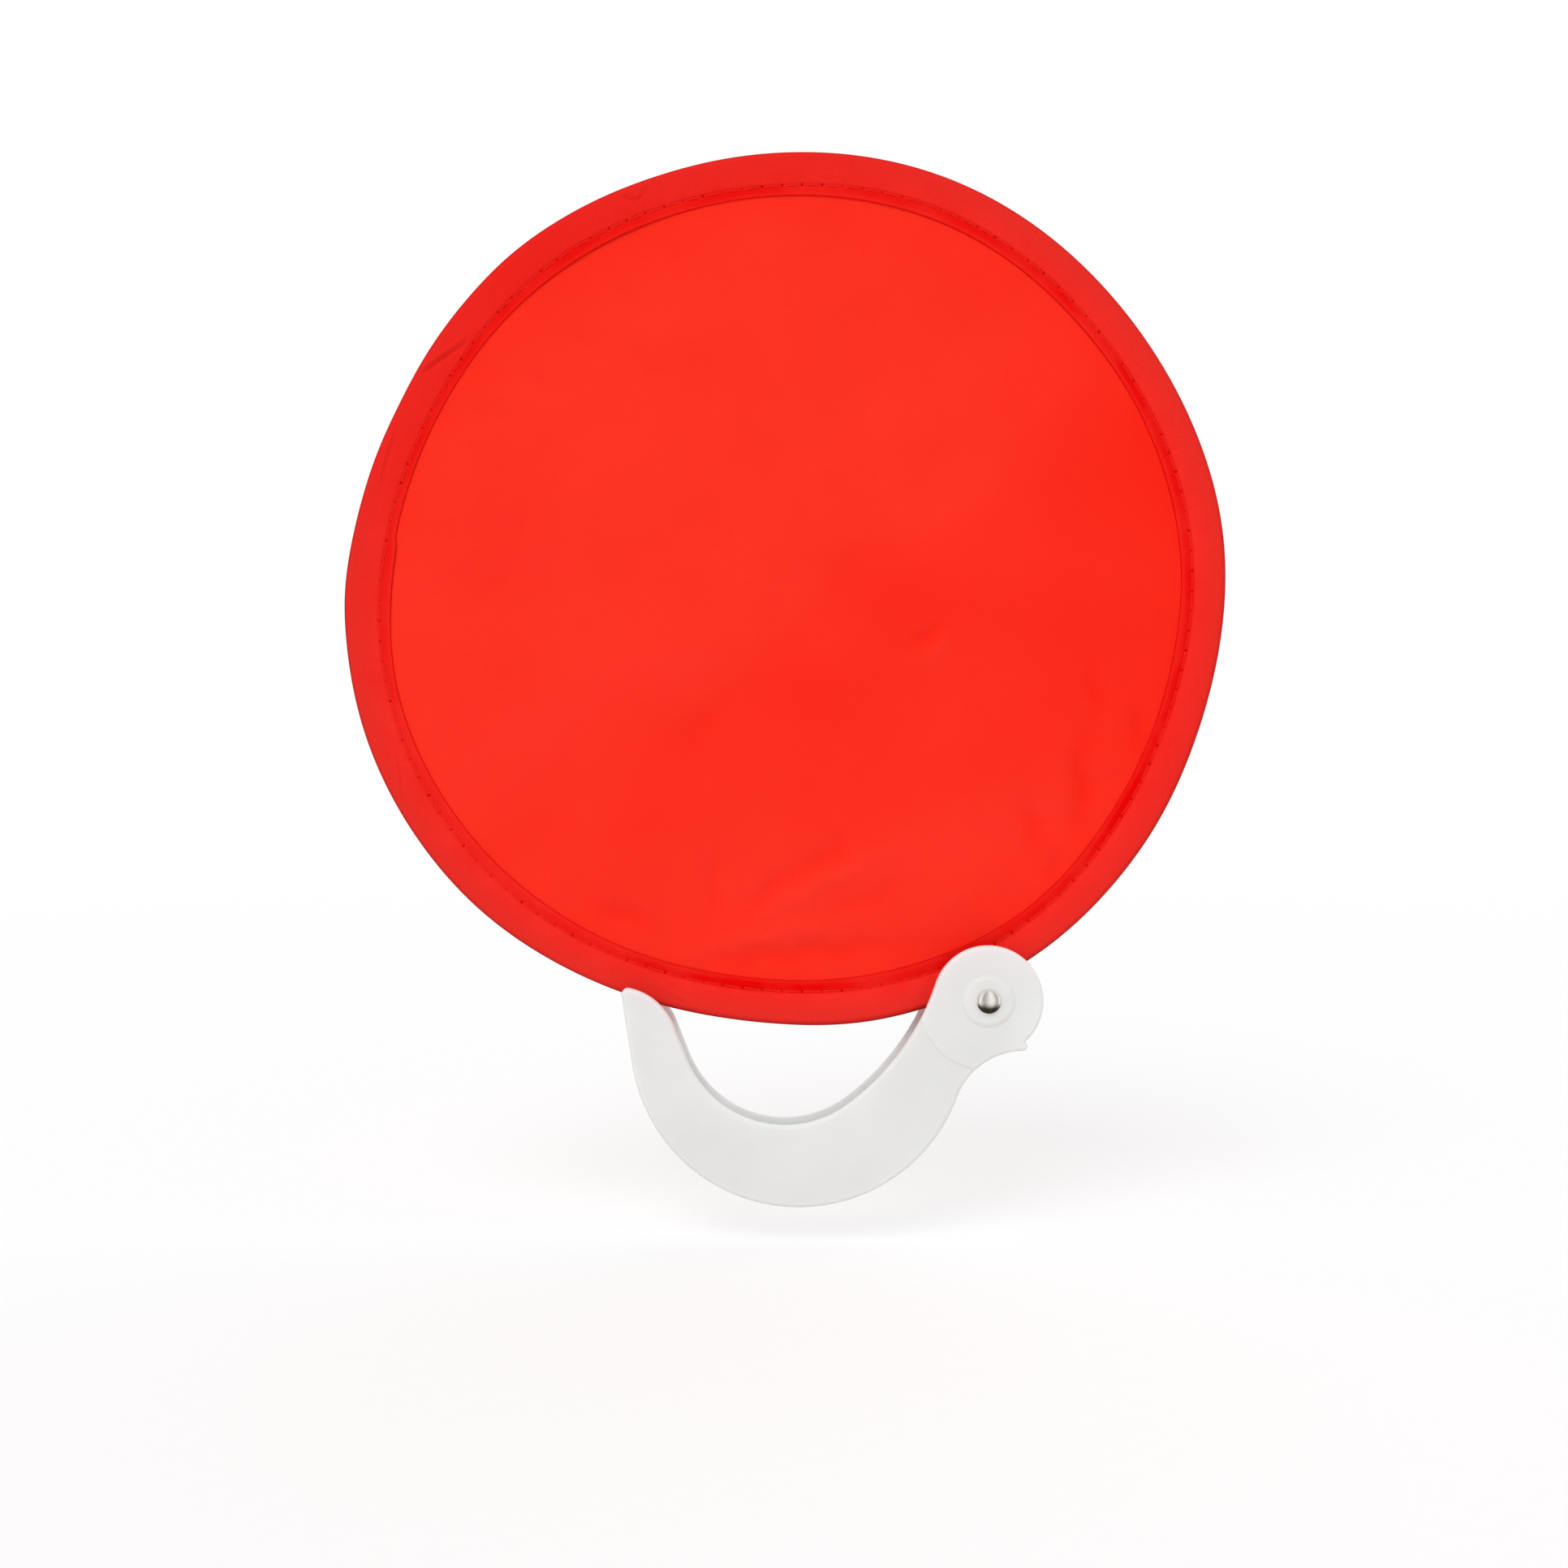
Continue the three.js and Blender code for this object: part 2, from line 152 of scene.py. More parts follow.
SLACK_HEIGHTS = (0.5, 0.32, 0.20)  # of the broad, the middling and the short waves
WRINKLE = (0.34, 17)  # height, and reach in from the hem
FINE_WRINKLE = (0.06, 5)
# Where the wrinkles are strongest, as with the bulges
DRAWN = [(258, 1, math.degrees(0.5)), (322, 0.8, math.degrees(0.4)), (138, 0.5, math.degrees(0.4))]
TONE_LEVEL = 0.06  # how deep the red is everywhere, and the painted shade and tone added past the slack line and so on
# past the slack line and in the folds the deeper red is painted shade; the clouds are random tone
SLACK_SHADE = 0.42
CLOUD_TONE = 0.1
EDGE_TONE = 0.34
EDGE_TONE_REACH = 16
EDGE_PALE = [(205, 0.9, math.degrees(0.6))]  # where the edge is left paler, as with the bulges
FOLD_SHADE = 0.45

# Tab
TAB_HALF_WIDTH = 4.6
TAB_THICKNESS = 0.7
CLOTH_GAP = 0.1

# Fineness
RIM_ORDER = 6
ARC_SAG = 0.004
FILLET_STEPS = 9
SLAB_SIDES = 1016
LATHE_STEPS = 144
PAD_STEPS = 12
RING_STEPS = 40
DOME_STEPS = 24
DOME_POWER = 0.92  # under 1, the cap's dome is fuller than an ellipse
STITCH_POINTS = 9
REACH_PAST = 5  # cutters run this far past what they cut

# Camera and stage
CAMERA_PLACE = (-0.0025, -0.474, 0.1078)
LENS = 38.1
SENSOR_WIDTH = 36
FLOOR_LEVEL = -0.0225
FLOOR_HALF = 6.0
FLOOR_GLOW = 0.72
STRIPS = 7
STRIP_BEARING = math.radians(15)  # of one bright strip, from straight ahead to the right
STRIP_SWING = 0.28  # from the strips' mean to their brightest
TABLE_EDGE = -0.16  # its height on a sphere of radius 1, then how far down it goes on darkening
TABLE_DEPTH = 0.42
TABLE_LEVEL = 0.05
TABLE_TINT = (1, 0.84, 0.7)
AMBIENT = 0.42
KEY_FROM = (-0.22, -0.64, 0.73)
KEY_LEVEL = 0.54
KEY_SPREAD = math.radians(34)
BACK_FROM = (0.5, 0.62, 0.6)
BACK_LEVEL = 0.4
BACK_SPREAD = math.radians(80)

# Colours, most of them a pair that a noise runs between
PLASTIC_WHITES = (0.775, 0.793, 0.786), (0.805, 0.823, 0.818)
NICKEL_TINTS = (0.87, 0.84, 0.79), (0.93, 0.90, 0.85)
STEEL_TINTS = (0.40, 0.41, 0.42), (0.52, 0.53, 0.54)
PAPER_WHITES = (0.90, 0.90, 0.90), (0.92, 0.92, 0.92)
CLOTH_REDS = (0.95, 0.0265, 0.0105), (0.98, 0.029, 0.0125)
# the panel's painted shade, and its random tone
CLOTH_SHADE_TONE_RED = (0.93, 0.0105, 0.001)
BAND_REDS = (0.89, 0.0225, 0.016), (0.945, 0.0295, 0.022)
# painted sheen: a greyer, darker red towards the rim
RIM_SHEEN_RED = (0.81, 0.028, 0.021)
FRESH_RED = (0.90, 0.015, 0.011)
# painted shade on the flange by the seam
FLANGE_SHADE_RED = (0.84, 0.0012, 0.0006)
# painted shadow line along the tape's inner edges
EDGE_SHADOW_RED = (0.78, 0.001, 0.0005)
RIB_RED = (0.45, 0.003, 0.002)
# painted shade where the tape turns over the rim
RIM_SHADE_RED = (0.52, 0.0155, 0.0125)
# painted shade in the needle holes
HOLE_SHADE_RED = (0.55, 0.003, 0.002)
TAB_REDS = (0.76, 0.007, 0.004), (0.84, 0.012, 0.008)
THREAD_REDS = (0.80, 0.012, 0.008), (0.92, 0.03, 0.02)
NOISE_MIDDLE = (0.3, 0.7)
METAL = {"Metallic": 1}

# Spacing of the threads in each weave, in metres
CLOTH_WARP = 0.00028
CLOTH_WEFT = 0.00026
TAPE_RIB = 0.0007
TAPE_WEFT = 0.0004
TAB_WARP = 0.00042
TAB_WEFT = 0.0003


# What the frame says

def points_of(made):
    """Every point of an object's mesh, in millimetres."""
    mesh = made.data
    flat = np.empty(3 * len(mesh.vertices))
    mesh.vertices.foreach_get("co", flat)
    return flat.reshape(-1, 3) / MM


def mount_place(name):
    mounts = frame["record"]["mounts"]
    return next(np.array(mount["pos_m"]) for mount in mounts if mount["name"] == name) / MM


def node_box(name):
    low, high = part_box(name)
    return np.array(low) / MM, np.array(high) / MM


HINGE = frame["record"]["behaviour"]["joints"][0]
PIVOT = np.array(HINGE["pos_m"])[[0, 2]] / MM
FULL_SWING = math.radians(HINGE["range_deg"][1])
CHEEK_FACE = mount_place("back_cheek")[1]
CHEEK_MIDDLE = CHEEK_FACE - CHEEK_THICKNESS / 2
CHANNEL_FACE = CHEEK_FACE - CHEEK_THICKNESS
HEAD_FACE = CHEEK_FACE + PAD_RISE
CAP_LOW, CAP_HIGH = node_box("rivet_back_cap")
CAP_RADIUS = (CAP_HIGH[0] - CAP_LOW[0]) / 2
CAP_SEAT = HEAD_FACE + RING_RISE - SHANK_GAP / 2
CAP_RISE = CAP_HIGH[1] - CAP_SEAT
BUSH_END = node_box("pivot_bush")[1][1]
NOSE_RADIUS = node_box("edge_binding")[1][1]
BAND_SLOPE = math.hypot(SEAM_INSET - NOSE_RADIUS, NOSE_RADIUS - SEAM_HEIGHT)
SEAM_FROM_RIM = QUARTER_TURN * NOSE_RADIUS + BAND_SLOPE
TAB_HALF = node_box("pivot_tab")[1][1]
BOSS_FACE = TAB_HALF + CLOTH_GAP


def fan_middle():
    """The panel's axis, which is its vertex nearest to the middle of its box."""
    points = points_of(frame["nodes"]["fan_panel"])
    middle = (points.min(0) + points.max(0)) / 2
    return points[np.linalg.norm(points - middle, axis=1).argmin()][[0, 2]]


FAN_CENTRE = fan_middle()


def rim_waves(angle):
    """Whole waves round the rim at bearings: the mean, the cosines and the sines."""
    turns = np.arange(1, RIM_ORDER + 1) * np.asarray(angle)[..., None]
    return np.concatenate([np.ones_like(turns[..., :1]), np.cos(turns), np.sin(turns)], axis=-1)


def rim_series():
    """The hoop's radius as shares of those waves, fitted to the hem's outermost points."""
    points = points_of(frame["nodes"]["edge_binding"])
    points = points[np.abs(points[:, 1]) < ARC_SAG][:, [0, 2]] - FAN_CENTRE
    angles = np.arctan2(points[:, 1], points[:, 0])
    radii = np.linalg.norm(points, axis=1)
    degrees = np.round(np.degrees(angles))
    outermost = [np.flatnonzero(degrees == d)[radii[degrees == d].argmax()] for d in np.unique(degrees)]
    return np.linalg.lstsq(rim_waves(angles[outermost]), radii[outermost], rcond=None)[0]


RIM_SERIES = rim_series()
FAN_RADIUS = RIM_SERIES[0]


def rim_stretch(angle):
    """The hoop's radius at a bearing, as a share of its mean."""
    return rim_waves(angle) @ RIM_SERIES / FAN_RADIUS


def from_bearing(angle, place):
    """The turn from a bearing, between half a turn back and half a turn on."""
    return (angle - place + HALF_TURN) % TAU - HALF_TURN


def bell(off, height, half_width):
    """The height of a soft bump, at a distance from its middle."""
    return height * np.exp(-((off / half_width) ** 2))


def patches(angle, listed):
    """The sum of patches round the rim, each from its bearing, height and width."""
    total = 0.0
    for place, height, width in listed:
        total = total + bell(from_bearing(angle, math.radians(place)), height, math.radians(width))
    return total


def fan_place(angle, inset, depth):
    """Points at a bearing, a distance in from the rim and a depth along the fan's axis."""
    angle, inset, depth = np.broadcast_arrays(angle, inset, depth)
    radius = (FAN_RADIUS - inset) * rim_stretch(angle)
    radius = radius + patches(angle, BULGES) * np.clip(1 - inset / SEAM_INSET, 0, 1)
    across = FAN_CENTRE[0] + radius * np.cos(angle)
    up = FAN_CENTRE[1] + radius * np.sin(angle)
    return np.stack([across, depth, up], axis=-1)


# Meshes

def whole_turn(steps):
    return np.linspace(0, TAU, steps, endpoint=False)


def new_object(name, data):
    made = bpy.data.objects.new(name, data)
    bpy.context.scene.collection.objects.link(made)
    return made


def mesh_object(name, points, faces):
    """A new object from points in millimetres."""
    mesh = bpy.data.meshes.new(name)
    mesh.from_pydata((np.asarray(points, float).reshape(-1, 3) * MM).tolist(), [], faces)
    return new_object(name, mesh)


def grid_faces(rows, columns, wrap_rows=False, wrap_columns=False, start=0):
    """Quads of a grid of points, listed row by row."""
    faces = []
    for row in range(rows if wrap_rows else rows - 1):
        below = start + row * columns
        above = start + ((row + 1) % rows) * columns
        for column in range(columns if wrap_columns else columns - 1):
            after = (column + 1) % columns
            faces.append((below + column, below + after, above + after, above + column))
    return faces


def end_faces(rows, columns):
    """The first and the last row of a grid of points, each as one face."""
    return [tuple(range(columns)), tuple(range((rows - 1) * columns, rows * columns))]


@contextmanager
def sculpting(made):
    """The mesh of an object, open for changes that go back into it."""
    sculpt = bmesh.new()
    sculpt.from_mesh(made.data)
    yield sculpt
    sculpt.to_mesh(made.data)
    sculpt.free()


def outward(made):
    """Turns every face of a closed mesh to point out."""
    with sculpting(made) as sculpt:
        bmesh.ops.recalc_face_normals(sculpt, faces=sculpt.faces)
        if sculpt.calc_volume(signed=True) < 0:
            bmesh.ops.reverse_faces(sculpt, faces=sculpt.faces)
    return made


def smooth(made, sharpest=math.radians(32)):
    """Shades a mesh smooth, with its sharp edges kept."""
    with sculpting(made) as sculpt:
        for face in sculpt.faces:
            face.smooth = True
        for edge in sculpt.edges:
            edge.smooth = len(edge.link_faces) != 2 or edge.calc_face_angle() < sharpest
    return made


def apply_modifiers(made):
    shaped = made.evaluated_get(bpy.context.evaluated_depsgraph_get())
    made.data = bpy.data.meshes.new_from_object(shaped)
    made.modifiers.clear()
    return made


def combine(first, second, operation):
    """Joins, cuts or intersects the first solid with the second, which is used up."""
    step = first.modifiers.new("combine", "BOOLEAN")
    step.operation = operation
    step.solver = "MANIFOLD"
    step.object = second
    apply_modifiers(first)
    bpy.data.objects.remove(second)
    return first


def join(first, second):
    return combine(first, second, "UNION")


def cut(first, second):
    return combine(first, second, "DIFFERENCE")


def common(first, second):
    return combine(first, second, "INTERSECT")


def copy_of(made):
    return new_object("copy", made.data.copy())


def dress(made, name, material, body, slot, *nodes):
    """Gives a finished piece its name, its material, its body and the nodes that it stands for; its slot is
    not used.
    """
    made.name = name
    made.data.name = name
    made.data.materials.clear()
    made.data.materials.append(material)
    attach(made, body)
    if nodes:
        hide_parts(*nodes)
    return made


# Plane geometry, in (x, z)

def polar(centre, radius, angle):
    return centre + radius * np.array([math.cos(angle), math.sin(angle)])


def bearing(start, end):
    return math.atan2(end[1] - start[1], end[0] - start[0])


def crossing(first, first_radius, second, second_radius, side):
    """Where two circles cross, on the left (1) or right (-1) of the way from one centre to the other."""
    span = np.linalg.norm(second - first)
    cosine = (first_radius ** 2 + span ** 2 - second_radius ** 2) / (2 * first_radius * span)
    return polar(first, first_radius, bearing(first, second) + side * math.acos(cosine))


def arc(centre, radius, start, end, way=1):
    """Points along an arc, counter-clockwise (1) or clockwise (-1)."""
    sweep = ((end - start) * way) % TAU
    steps = math.ceil(sweep / (2 * math.acos(1 - ARC_SAG / radius)))
    return [polar(centre, radius, start + way * sweep * i / steps) for i in range(steps + 1)]


def arc_between(centre, radius, start, end, way=1):
    """An arc from the side of its centre that faces one point to the side that faces another."""
    return arc(centre, radius, bearing(centre, start), bearing(centre, end), way)


def joined(*runs):
    """One closed run of points from several, without the doubled ends."""
    points = []
    for spot in (spot for run in runs for spot in run):
        if not points or np.linalg.norm(spot - points[-1]) > ARC_SAG:
            points.append(spot)
    if np.linalg.norm(points[0] - points[-1]) < ARC_SAG:
        points.pop()
    return np.array(points)


ARCH_CENTRE = np.array([ARCH_SHIFT, GRIP_DEPTH / 2 + ARCH_RADIUS])
CASE_CENTRE = np.array([CASE_SHIFT, CASE_RADIUS - GRIP_DEPTH / 2])
THROAT_CENTRE = crossing(
    ARCH_CENTRE, THROAT_RADIUS - ARCH_RADIUS, PIVOT, THROAT_RADIUS + HEAD_RADIUS, 1
)
NECK_CENTRE = crossing(CASE_CENTRE, CASE_RADIUS + NECK_RADIUS, PIVOT, HEAD_RADIUS + NECK_RADIUS, -1)
CROWN_SPAN = ARCH_RADIUS + CROWN_RADIUS + CROWN_GAP
CROWN_CENTRE = polar(ARCH_CENTRE, CROWN_SPAN, CROWN_BEARING)
RUN_BEARING = bearing(CROWN_CENTRE, ARCH_CENTRE) + math.acos((ARCH_RADIUS + CROWN_RADIUS) / CROWN_SPAN)
NUB_CENTRE = polar(NECK_CENTRE, NECK_RADIUS + NUB_RADIUS, math.acos(
    (NUB_END - NUB_RADIUS - NECK_CENTRE[0]) / (NECK_RADIUS + NUB_RADIUS)
))
NUB_NOTCH = crossing(NUB_CENTRE, NUB_RADIUS, PIVOT, HEAD_RADIUS, -1)
TIP_BEARING = HALF_TURN + TIP_LEAN
TIP_RUN = np.array([-math.sin(TIP_LEAN), math.cos(TIP_LEAN)])


def tip_line(inset, along):
    return polar(CASE_CENTRE, CASE_RADIUS - inset, TIP_BEARING) + along * TIP_RUN


def tip_round_centre():
    """The rounded point touches the tip's outer edge and the inside of the crown."""
    from_crown = tip_line(TIP_ROUND, 0) - CROWN_CENTRE
    along = from_crown @ TIP_RUN
    spare = from_crown @ from_crown - (CROWN_RADIUS - TIP_ROUND) ** 2
    return tip_line(TIP_ROUND, math.sqrt(along ** 2 - spare) - along)


TIP_CENTRE = tip_round_centre()


def handle_outline():
    crown_end = bearing(CROWN_CENTRE, TIP_CENTRE)
    return joined(
        arc(CASE_CENTRE, CASE_RADIUS, TIP_BEARING, bearing(CASE_CENTRE, NECK_CENTRE)),
        arc_between(NECK_CENTRE, NECK_RADIUS, CASE_CENTRE, NUB_CENTRE, -1),
        arc_between(NUB_CENTRE, NUB_RADIUS, NECK_CENTRE, NUB_NOTCH),
        arc_between(PIVOT, HEAD_RADIUS, NUB_NOTCH, THROAT_CENTRE),
        arc_between(THROAT_CENTRE, THROAT_RADIUS, PIVOT, ARCH_CENTRE, -1),
        arc(ARCH_CENTRE, ARCH_RADIUS, bearing(THROAT_CENTRE, ARCH_CENTRE), RUN_BEARING + HALF_TURN, -1),
        arc(CROWN_CENTRE, CROWN_RADIUS, RUN_BEARING, crown_end),
        arc(TIP_CENTRE, TIP_ROUND, crown_end, TIP_BEARING),
    )


def inside_wall(wall):
    """Everything inside a wall along the outer edge, open along the arch, the crown and the head."""
    right, top = PIVOT + HEAD_RADIUS + REACH_PAST
    floor = NECK_CENTRE[1] + NECK_RADIUS + wall
    tip_top = tip_line(wall, (top - tip_line(wall, 0)[1]) / TIP_RUN[1])
    return joined(
        arc(CASE_CENTRE, CASE_RADIUS - wall, TIP_BEARING, bearing(CASE_CENTRE, NECK_CENTRE)),
        arc(NECK_CENTRE, NECK_RADIUS + wall, bearing(NECK_CENTRE, CASE_CENTRE), QUARTER_TURN, -1),
        [np.array([right, floor]), np.array([right, top]), tip_top],
    )


# Solids of the handle

def inset_outline(points, inset):
    """A smooth outline moved in by a distance, along its own normals."""
    run = np.roll(points, -1, axis=0) - np.roll(points, 1, axis=0)
    run /= np.linalg.norm(run, axis=1, keepdims=True)
    return points + inset * np.stack([-run[:, 1], run[:, 0]], axis=1)


def prism(points, near, far, edge=0):
    """An outline extruded from the near y to the far y, with its end edges rounded over."""
    if edge:
        turns = [QUARTER_TURN * i / FILLET_STEPS for i in range(FILLET_STEPS + 1)]
        levels = [(edge * (1 - math.sin(t)), near + edge * (1 - math.cos(t))) for t in turns]
        levels += [(inset, near + far - depth) for inset, depth in reversed(levels)]
    else:
        levels = [(0, near), (0, far)]
    rings = []
    for inset, depth in levels:
        ring = inset_outline(points, inset)
        rings.append(np.stack([ring[:, 0], np.full(len(ring), depth), ring[:, 1]], axis=1))
    count = len(points)
    faces = grid_faces(len(rings), count, wrap_columns=True) + end_faces(len(rings), count)
    return outward(mesh_object("prism", np.concatenate(rings), faces))


def turned(profile):
    """A closed solid turned about the rivet, from (radius, y) points that start and end on its axis."""
    angles = whole_turn(LATHE_STEPS)
    rings = profile[1:-1]
    points = [(PIVOT[0], profile[0][1], PIVOT[1])]
    for radius, depth in rings:
        for angle in angles:
            across, up = polar(PIVOT, radius, angle)
            points.append((across, depth, up))
    points.append((PIVOT[0], profile[-1][1], PIVOT[1]))
    faces = grid_faces(len(rings), LATHE_STEPS, wrap_columns=True, start=1)
    last = 1 + (len(rings) - 1) * LATHE_STEPS
    for i in range(LATHE_STEPS):
        after = (i + 1) % LATHE_STEPS
        faces.append((0, 1 + i, 1 + after))
        faces.append((len(points) - 1, last + after, last + i))
    return outward(mesh_object("turned", points, faces))


def disc(radius, near, far, edge=0.0):
    """A disc about the rivet's axis, with rounded edges if asked for."""
    profile = [(0, near)]
    steps = FILLET_STEPS if edge else 0
    for i in range(steps + 1):
        turn = QUARTER_TURN * i / max(steps, 1)
        profile.append((radius - edge * (1 - math.sin(turn)), near + edge * (1 - math.cos(turn))))
    profile += [(r, near + far - depth) for r, depth in reversed(profile)]
    return turned(profile)


def ease(share):
    """0 to 1, level at both ends."""
    share = min(max(share, 0), 1)
    return share * share * (3 - 2 * share)


def head_pad():
    """The head's raised pad, whose edge slopes down softly to the cheek."""
    sunk = ARC_SAG * 5
    slope = [PAD_RADIUS + PAD_SOFTNESS * (2 * i / PAD_STEPS - 1) for i in range(PAD_STEPS + 1)]
    face = [(0, HEAD_FACE), (PAD_RADIUS / 2, HEAD_FACE)]
    for radius in slope:
        down = ease((radius - PAD_RADIUS + PAD_SOFTNESS) / (2 * PAD_SOFTNESS))
        face.append((radius, HEAD_FACE - (PAD_RISE + sunk) * down))
    back = [(radius, -depth) for radius, depth in face]
    return turned(back + face[::-1])


def rivet_ring(side):
    """The low boss that the rivet's cap sits on, with a soft edge, on the front (-1) or the back (1)."""
    seat = CAP_RADIUS - SHANK_GAP
    sunk = ARC_SAG * 2
    profile = [(0, side * CHEEK_MIDDLE), (RING_RADIUS, side * CHEEK_MIDDLE)]
    for radius in np.linspace(RING_RADIUS, seat, RING_STEPS + 1):
        rise = RING_RISE * ease((RING_RADIUS - radius) / RING_SLOPE)
        profile.append((radius, side * (HEAD_FACE + rise - sunk)))
    profile += [(seat, side * (HEAD_FACE - sunk)), (0, side * (HEAD_FACE - sunk))]
    return turned(profile)


def handle_envelope():
    outline = handle_outline()
    body = prism(outline, -CHEEK_FACE, CHEEK_FACE, EDGE_ROUND)
    head = common(prism(outline, -HEAD_FACE, HEAD_FACE, EDGE_ROUND), head_pad())
    return join(body, head)


def fan_slab(inset, half_depth):
    """Everything within the fan's outline, as a plate."""
    angles = whole_turn(SLAB_SIDES)
    ring = fan_place(angles, inset, 0)[:, [0, 2]]
    return prism(ring, -half_depth, half_depth)


def swung(made, turn):
    """Turns a mesh about the hinge."""
    pivot = Matrix.Translation(Vector((PIVOT[0], 0, PIVOT[1])) * MM)
    made.data.transform(pivot @ Matrix.Rotation(turn, 4, "Y") @ pivot.inverted())
    return made


def handle_shell(side, envelope):
    far = CHEEK_FACE + REACH_PAST
    frame_outline = inside_wall(-REACH_PAST)
    shell = common(copy_of(envelope), prism(frame_outline, *sorted([0, side * far])))
    if side < 0:
        lip = prism(inside_wall((RIM_WALL + LIP_GAP) / 2), -LIP_HEIGHT, LIP_HEIGHT)
        shell = join(shell, common(lip, copy_of(envelope)))
    else:
        rebate = prism(inside_wall((RIM_WALL - LIP_GAP) / 2), -LIP_HEIGHT, LIP_HEIGHT + LIP_GAP)
        shell = cut(shell, rebate)
    shell = cut(shell, prism(inside_wall(RIM_WALL), -CHANNEL_FACE, CHANNEL_FACE))
    shell = cut(shell, fan_slab(-SEAT_GAP, CHANNEL_FACE))
    shell = cut(shell, swung(fan_slab(-SEAT_GAP, NOSE_RADIUS + SEAT_GAP), FULL_SWING))
    boss_ends = sorted([side * BOSS_FACE, side * CHEEK_MIDDLE])
    shell = join(shell, disc(BOSS_RADIUS, *boss_ends, BOSS_EDGE))
    shell = join(shell, rivet_ring(side))
    return cut(shell, disc(SHANK_RADIUS + SHANK_GAP, -far, far))


def finish_moulding(made):
    """Softens the sharp edges of a moulding and shades it."""
    bevel = made.modifiers.new("edges", "BEVEL")
    bevel.width = SHARP_EDGE_ROUND * MM
    bevel.segments = 2
    bevel.limit_method = "ANGLE"
    bevel.angle_limit = math.radians(40)
    apply_modifiers(made)
    smooth(made)
    even = made.modifiers.new("even shading", "WEIGHTED_NORMAL")
    even.keep_sharp = True
    return made


# Rivet and bush

def cap_dome():
    """(radius, y) of a rivet's cap, from its axis over the dome to its seat on the boss."""
    profile = []
    for i in range(DOME_STEPS + 1):
        turn = QUARTER_TURN * i / DOME_STEPS
        profile.append((CAP_RADIUS * math.sin(turn) ** DOME_POWER, CAP_SEAT + CAP_RISE * math.cos(turn)))
    profile.append((CAP_RADIUS - CAP_EDGE / 3, CAP_SEAT))
    return profile


def rivet_post():
    shank_end = HEAD_FACE + CAP_SOCKET
    dome = [(radius, -depth) for radius, depth in cap_dome()]
    shank = [(SHANK_RADIUS, -HEAD_FACE), (SHANK_RADIUS, shank_end), (0, shank_end)]
    return smooth(turned(dome + shank))


def rivet_back_cap():
    socket = SHANK_RADIUS + SHANK_GAP / 2
    socket_end = HEAD_FACE + CAP_SOCKET + SHANK_GAP / 2
    hollow = [(socket, HEAD_FACE), (socket, socket_end), (0, socket_end)]
    return smooth(turned(cap_dome() + hollow))


def pivot_bush():
    sleeve = disc(BUSH_RADIUS, -BUSH_END, BUSH_END, BUSH_EDGE)
    return smooth(cut(sleeve, disc(SHANK_RADIUS + SHANK_GAP, -CHEEK_FACE, CHEEK_FACE)))


# Hem

def ripple(angle, lowest, highest, seed):
    """A smooth wave round the rim, about 1 high, made of waves between two counts."""
    draw = np.random.default_rng(seed)
    total = 0.0
    for count, phase in zip(draw.integers(lowest, highest, 9), draw.uniform(0, TAU, 9)):
        total = total + np.cos(count * angle + phase)
    return total / 3


def face_ripple(angle, side, lowest, highest, seed):
    """A ripple of the front face's own, with the next seed for the back face."""
    return ripple(angle, lowest, highest, seed if side < 0 else seed + 1)


def seam_inset(angle, side):
    """The row of stitches wanders a little as it was sewn."""
    return SEAM_INSET + SEAM_WANDER * face_ripple(angle, side, 1, 9, 11)


def edge_inset(angle, side):
    """The tape's inner edge, which is short of its place just before the tape's end."""
    before = from_bearing(angle, TAPE_END_BEARING)
    short = TAPE_SHORT * np.exp(np.minimum(before, 0) / 0.4) * (0.5 - 0.5 * np.tanh(before / 0.012))
    return HEM_WIDTH + EDGE_WANDER * face_ripple(angle, side, 3, 16, 21) - short


def creases(angle, inset, side):
    """Folds pressed into the band, each a ridge on one side of a line and a groove on the other."""
    total = 0.0
    shift = 0 if side < 0 else BACK_CREASE_TURN
    for start, start_inset, end, end_inset, height in CREASES:
        run = np.array([math.radians(end - start) * FAN_RADIUS, end_inset - start_inset])
        across = from_bearing(angle, math.radians(start + shift)) * FAN_RADIUS
        up = inset - start_inset
        share = np.clip((across * run[0] + up * run[1]) / (run @ run), 0, 1)
        off = (up * run[0] - across * run[1]) / (CREASE_WIDTH * math.sqrt(run @ run))
        total = total + height * off * np.exp(0.5 - off ** 2 / 2) * np.sin(HALF_TURN * share) ** 0.5
    return total


def hole_pull(angle, sharpness):
    """1 at each needle hole, falling away between two holes."""
    return (0.5 + 0.5 * np.cos(angle * STITCHES)) ** sharpness


def hem_height(angle, inset, side):
    """How far the hem's face stands from the fan's middle plane."""
    seam = seam_inset(angle, side)
    from_seam = inset - seam
    band = np.clip(-from_seam / (seam - NOSE_RADIUS), 0, 1)
    flange = np.clip(from_seam / (HEM_WIDTH - SEAM_INSET), 0, None)
    full = np.sin(HALF_TURN * band)
    height = SEAM_HEIGHT + (NOSE_RADIUS - SEAM_HEIGHT) * band + BAND_FULLNESS * full
    height = height + (FLANGE_LIFT + FLANGE_WAVE * face_ripple(angle, side, 3, 18, 41)) * flange
    height = height - bell(from_seam, *GROOVE)
    height = height - hole_pull(angle, 16) * bell(from_seam, *HOLE_DENT)
    height = height - hole_pull(angle, 6) * bell(from_seam + PUCKER_SHIFT, *PUCKER)
    height = height + BAND_RIPPLE * face_ripple(angle, side, 50, 130, 31) * full
    return height - creases(angle, inset, side)


def hem_shares():
    """Where the hem's face is sampled: -1 at the tape's edge, 0 on the seam and 1 where the nose starts."""
    flange = [-1, -0.86, -0.7, -0.52, -0.36]
    groove = [-0.24, -0.15, -0.07, 0, 0.03, 0.06, 0.1, 0.15, 0.21]
    band = list(np.linspace(0.26, 1, 18))
    return flange + groove + band


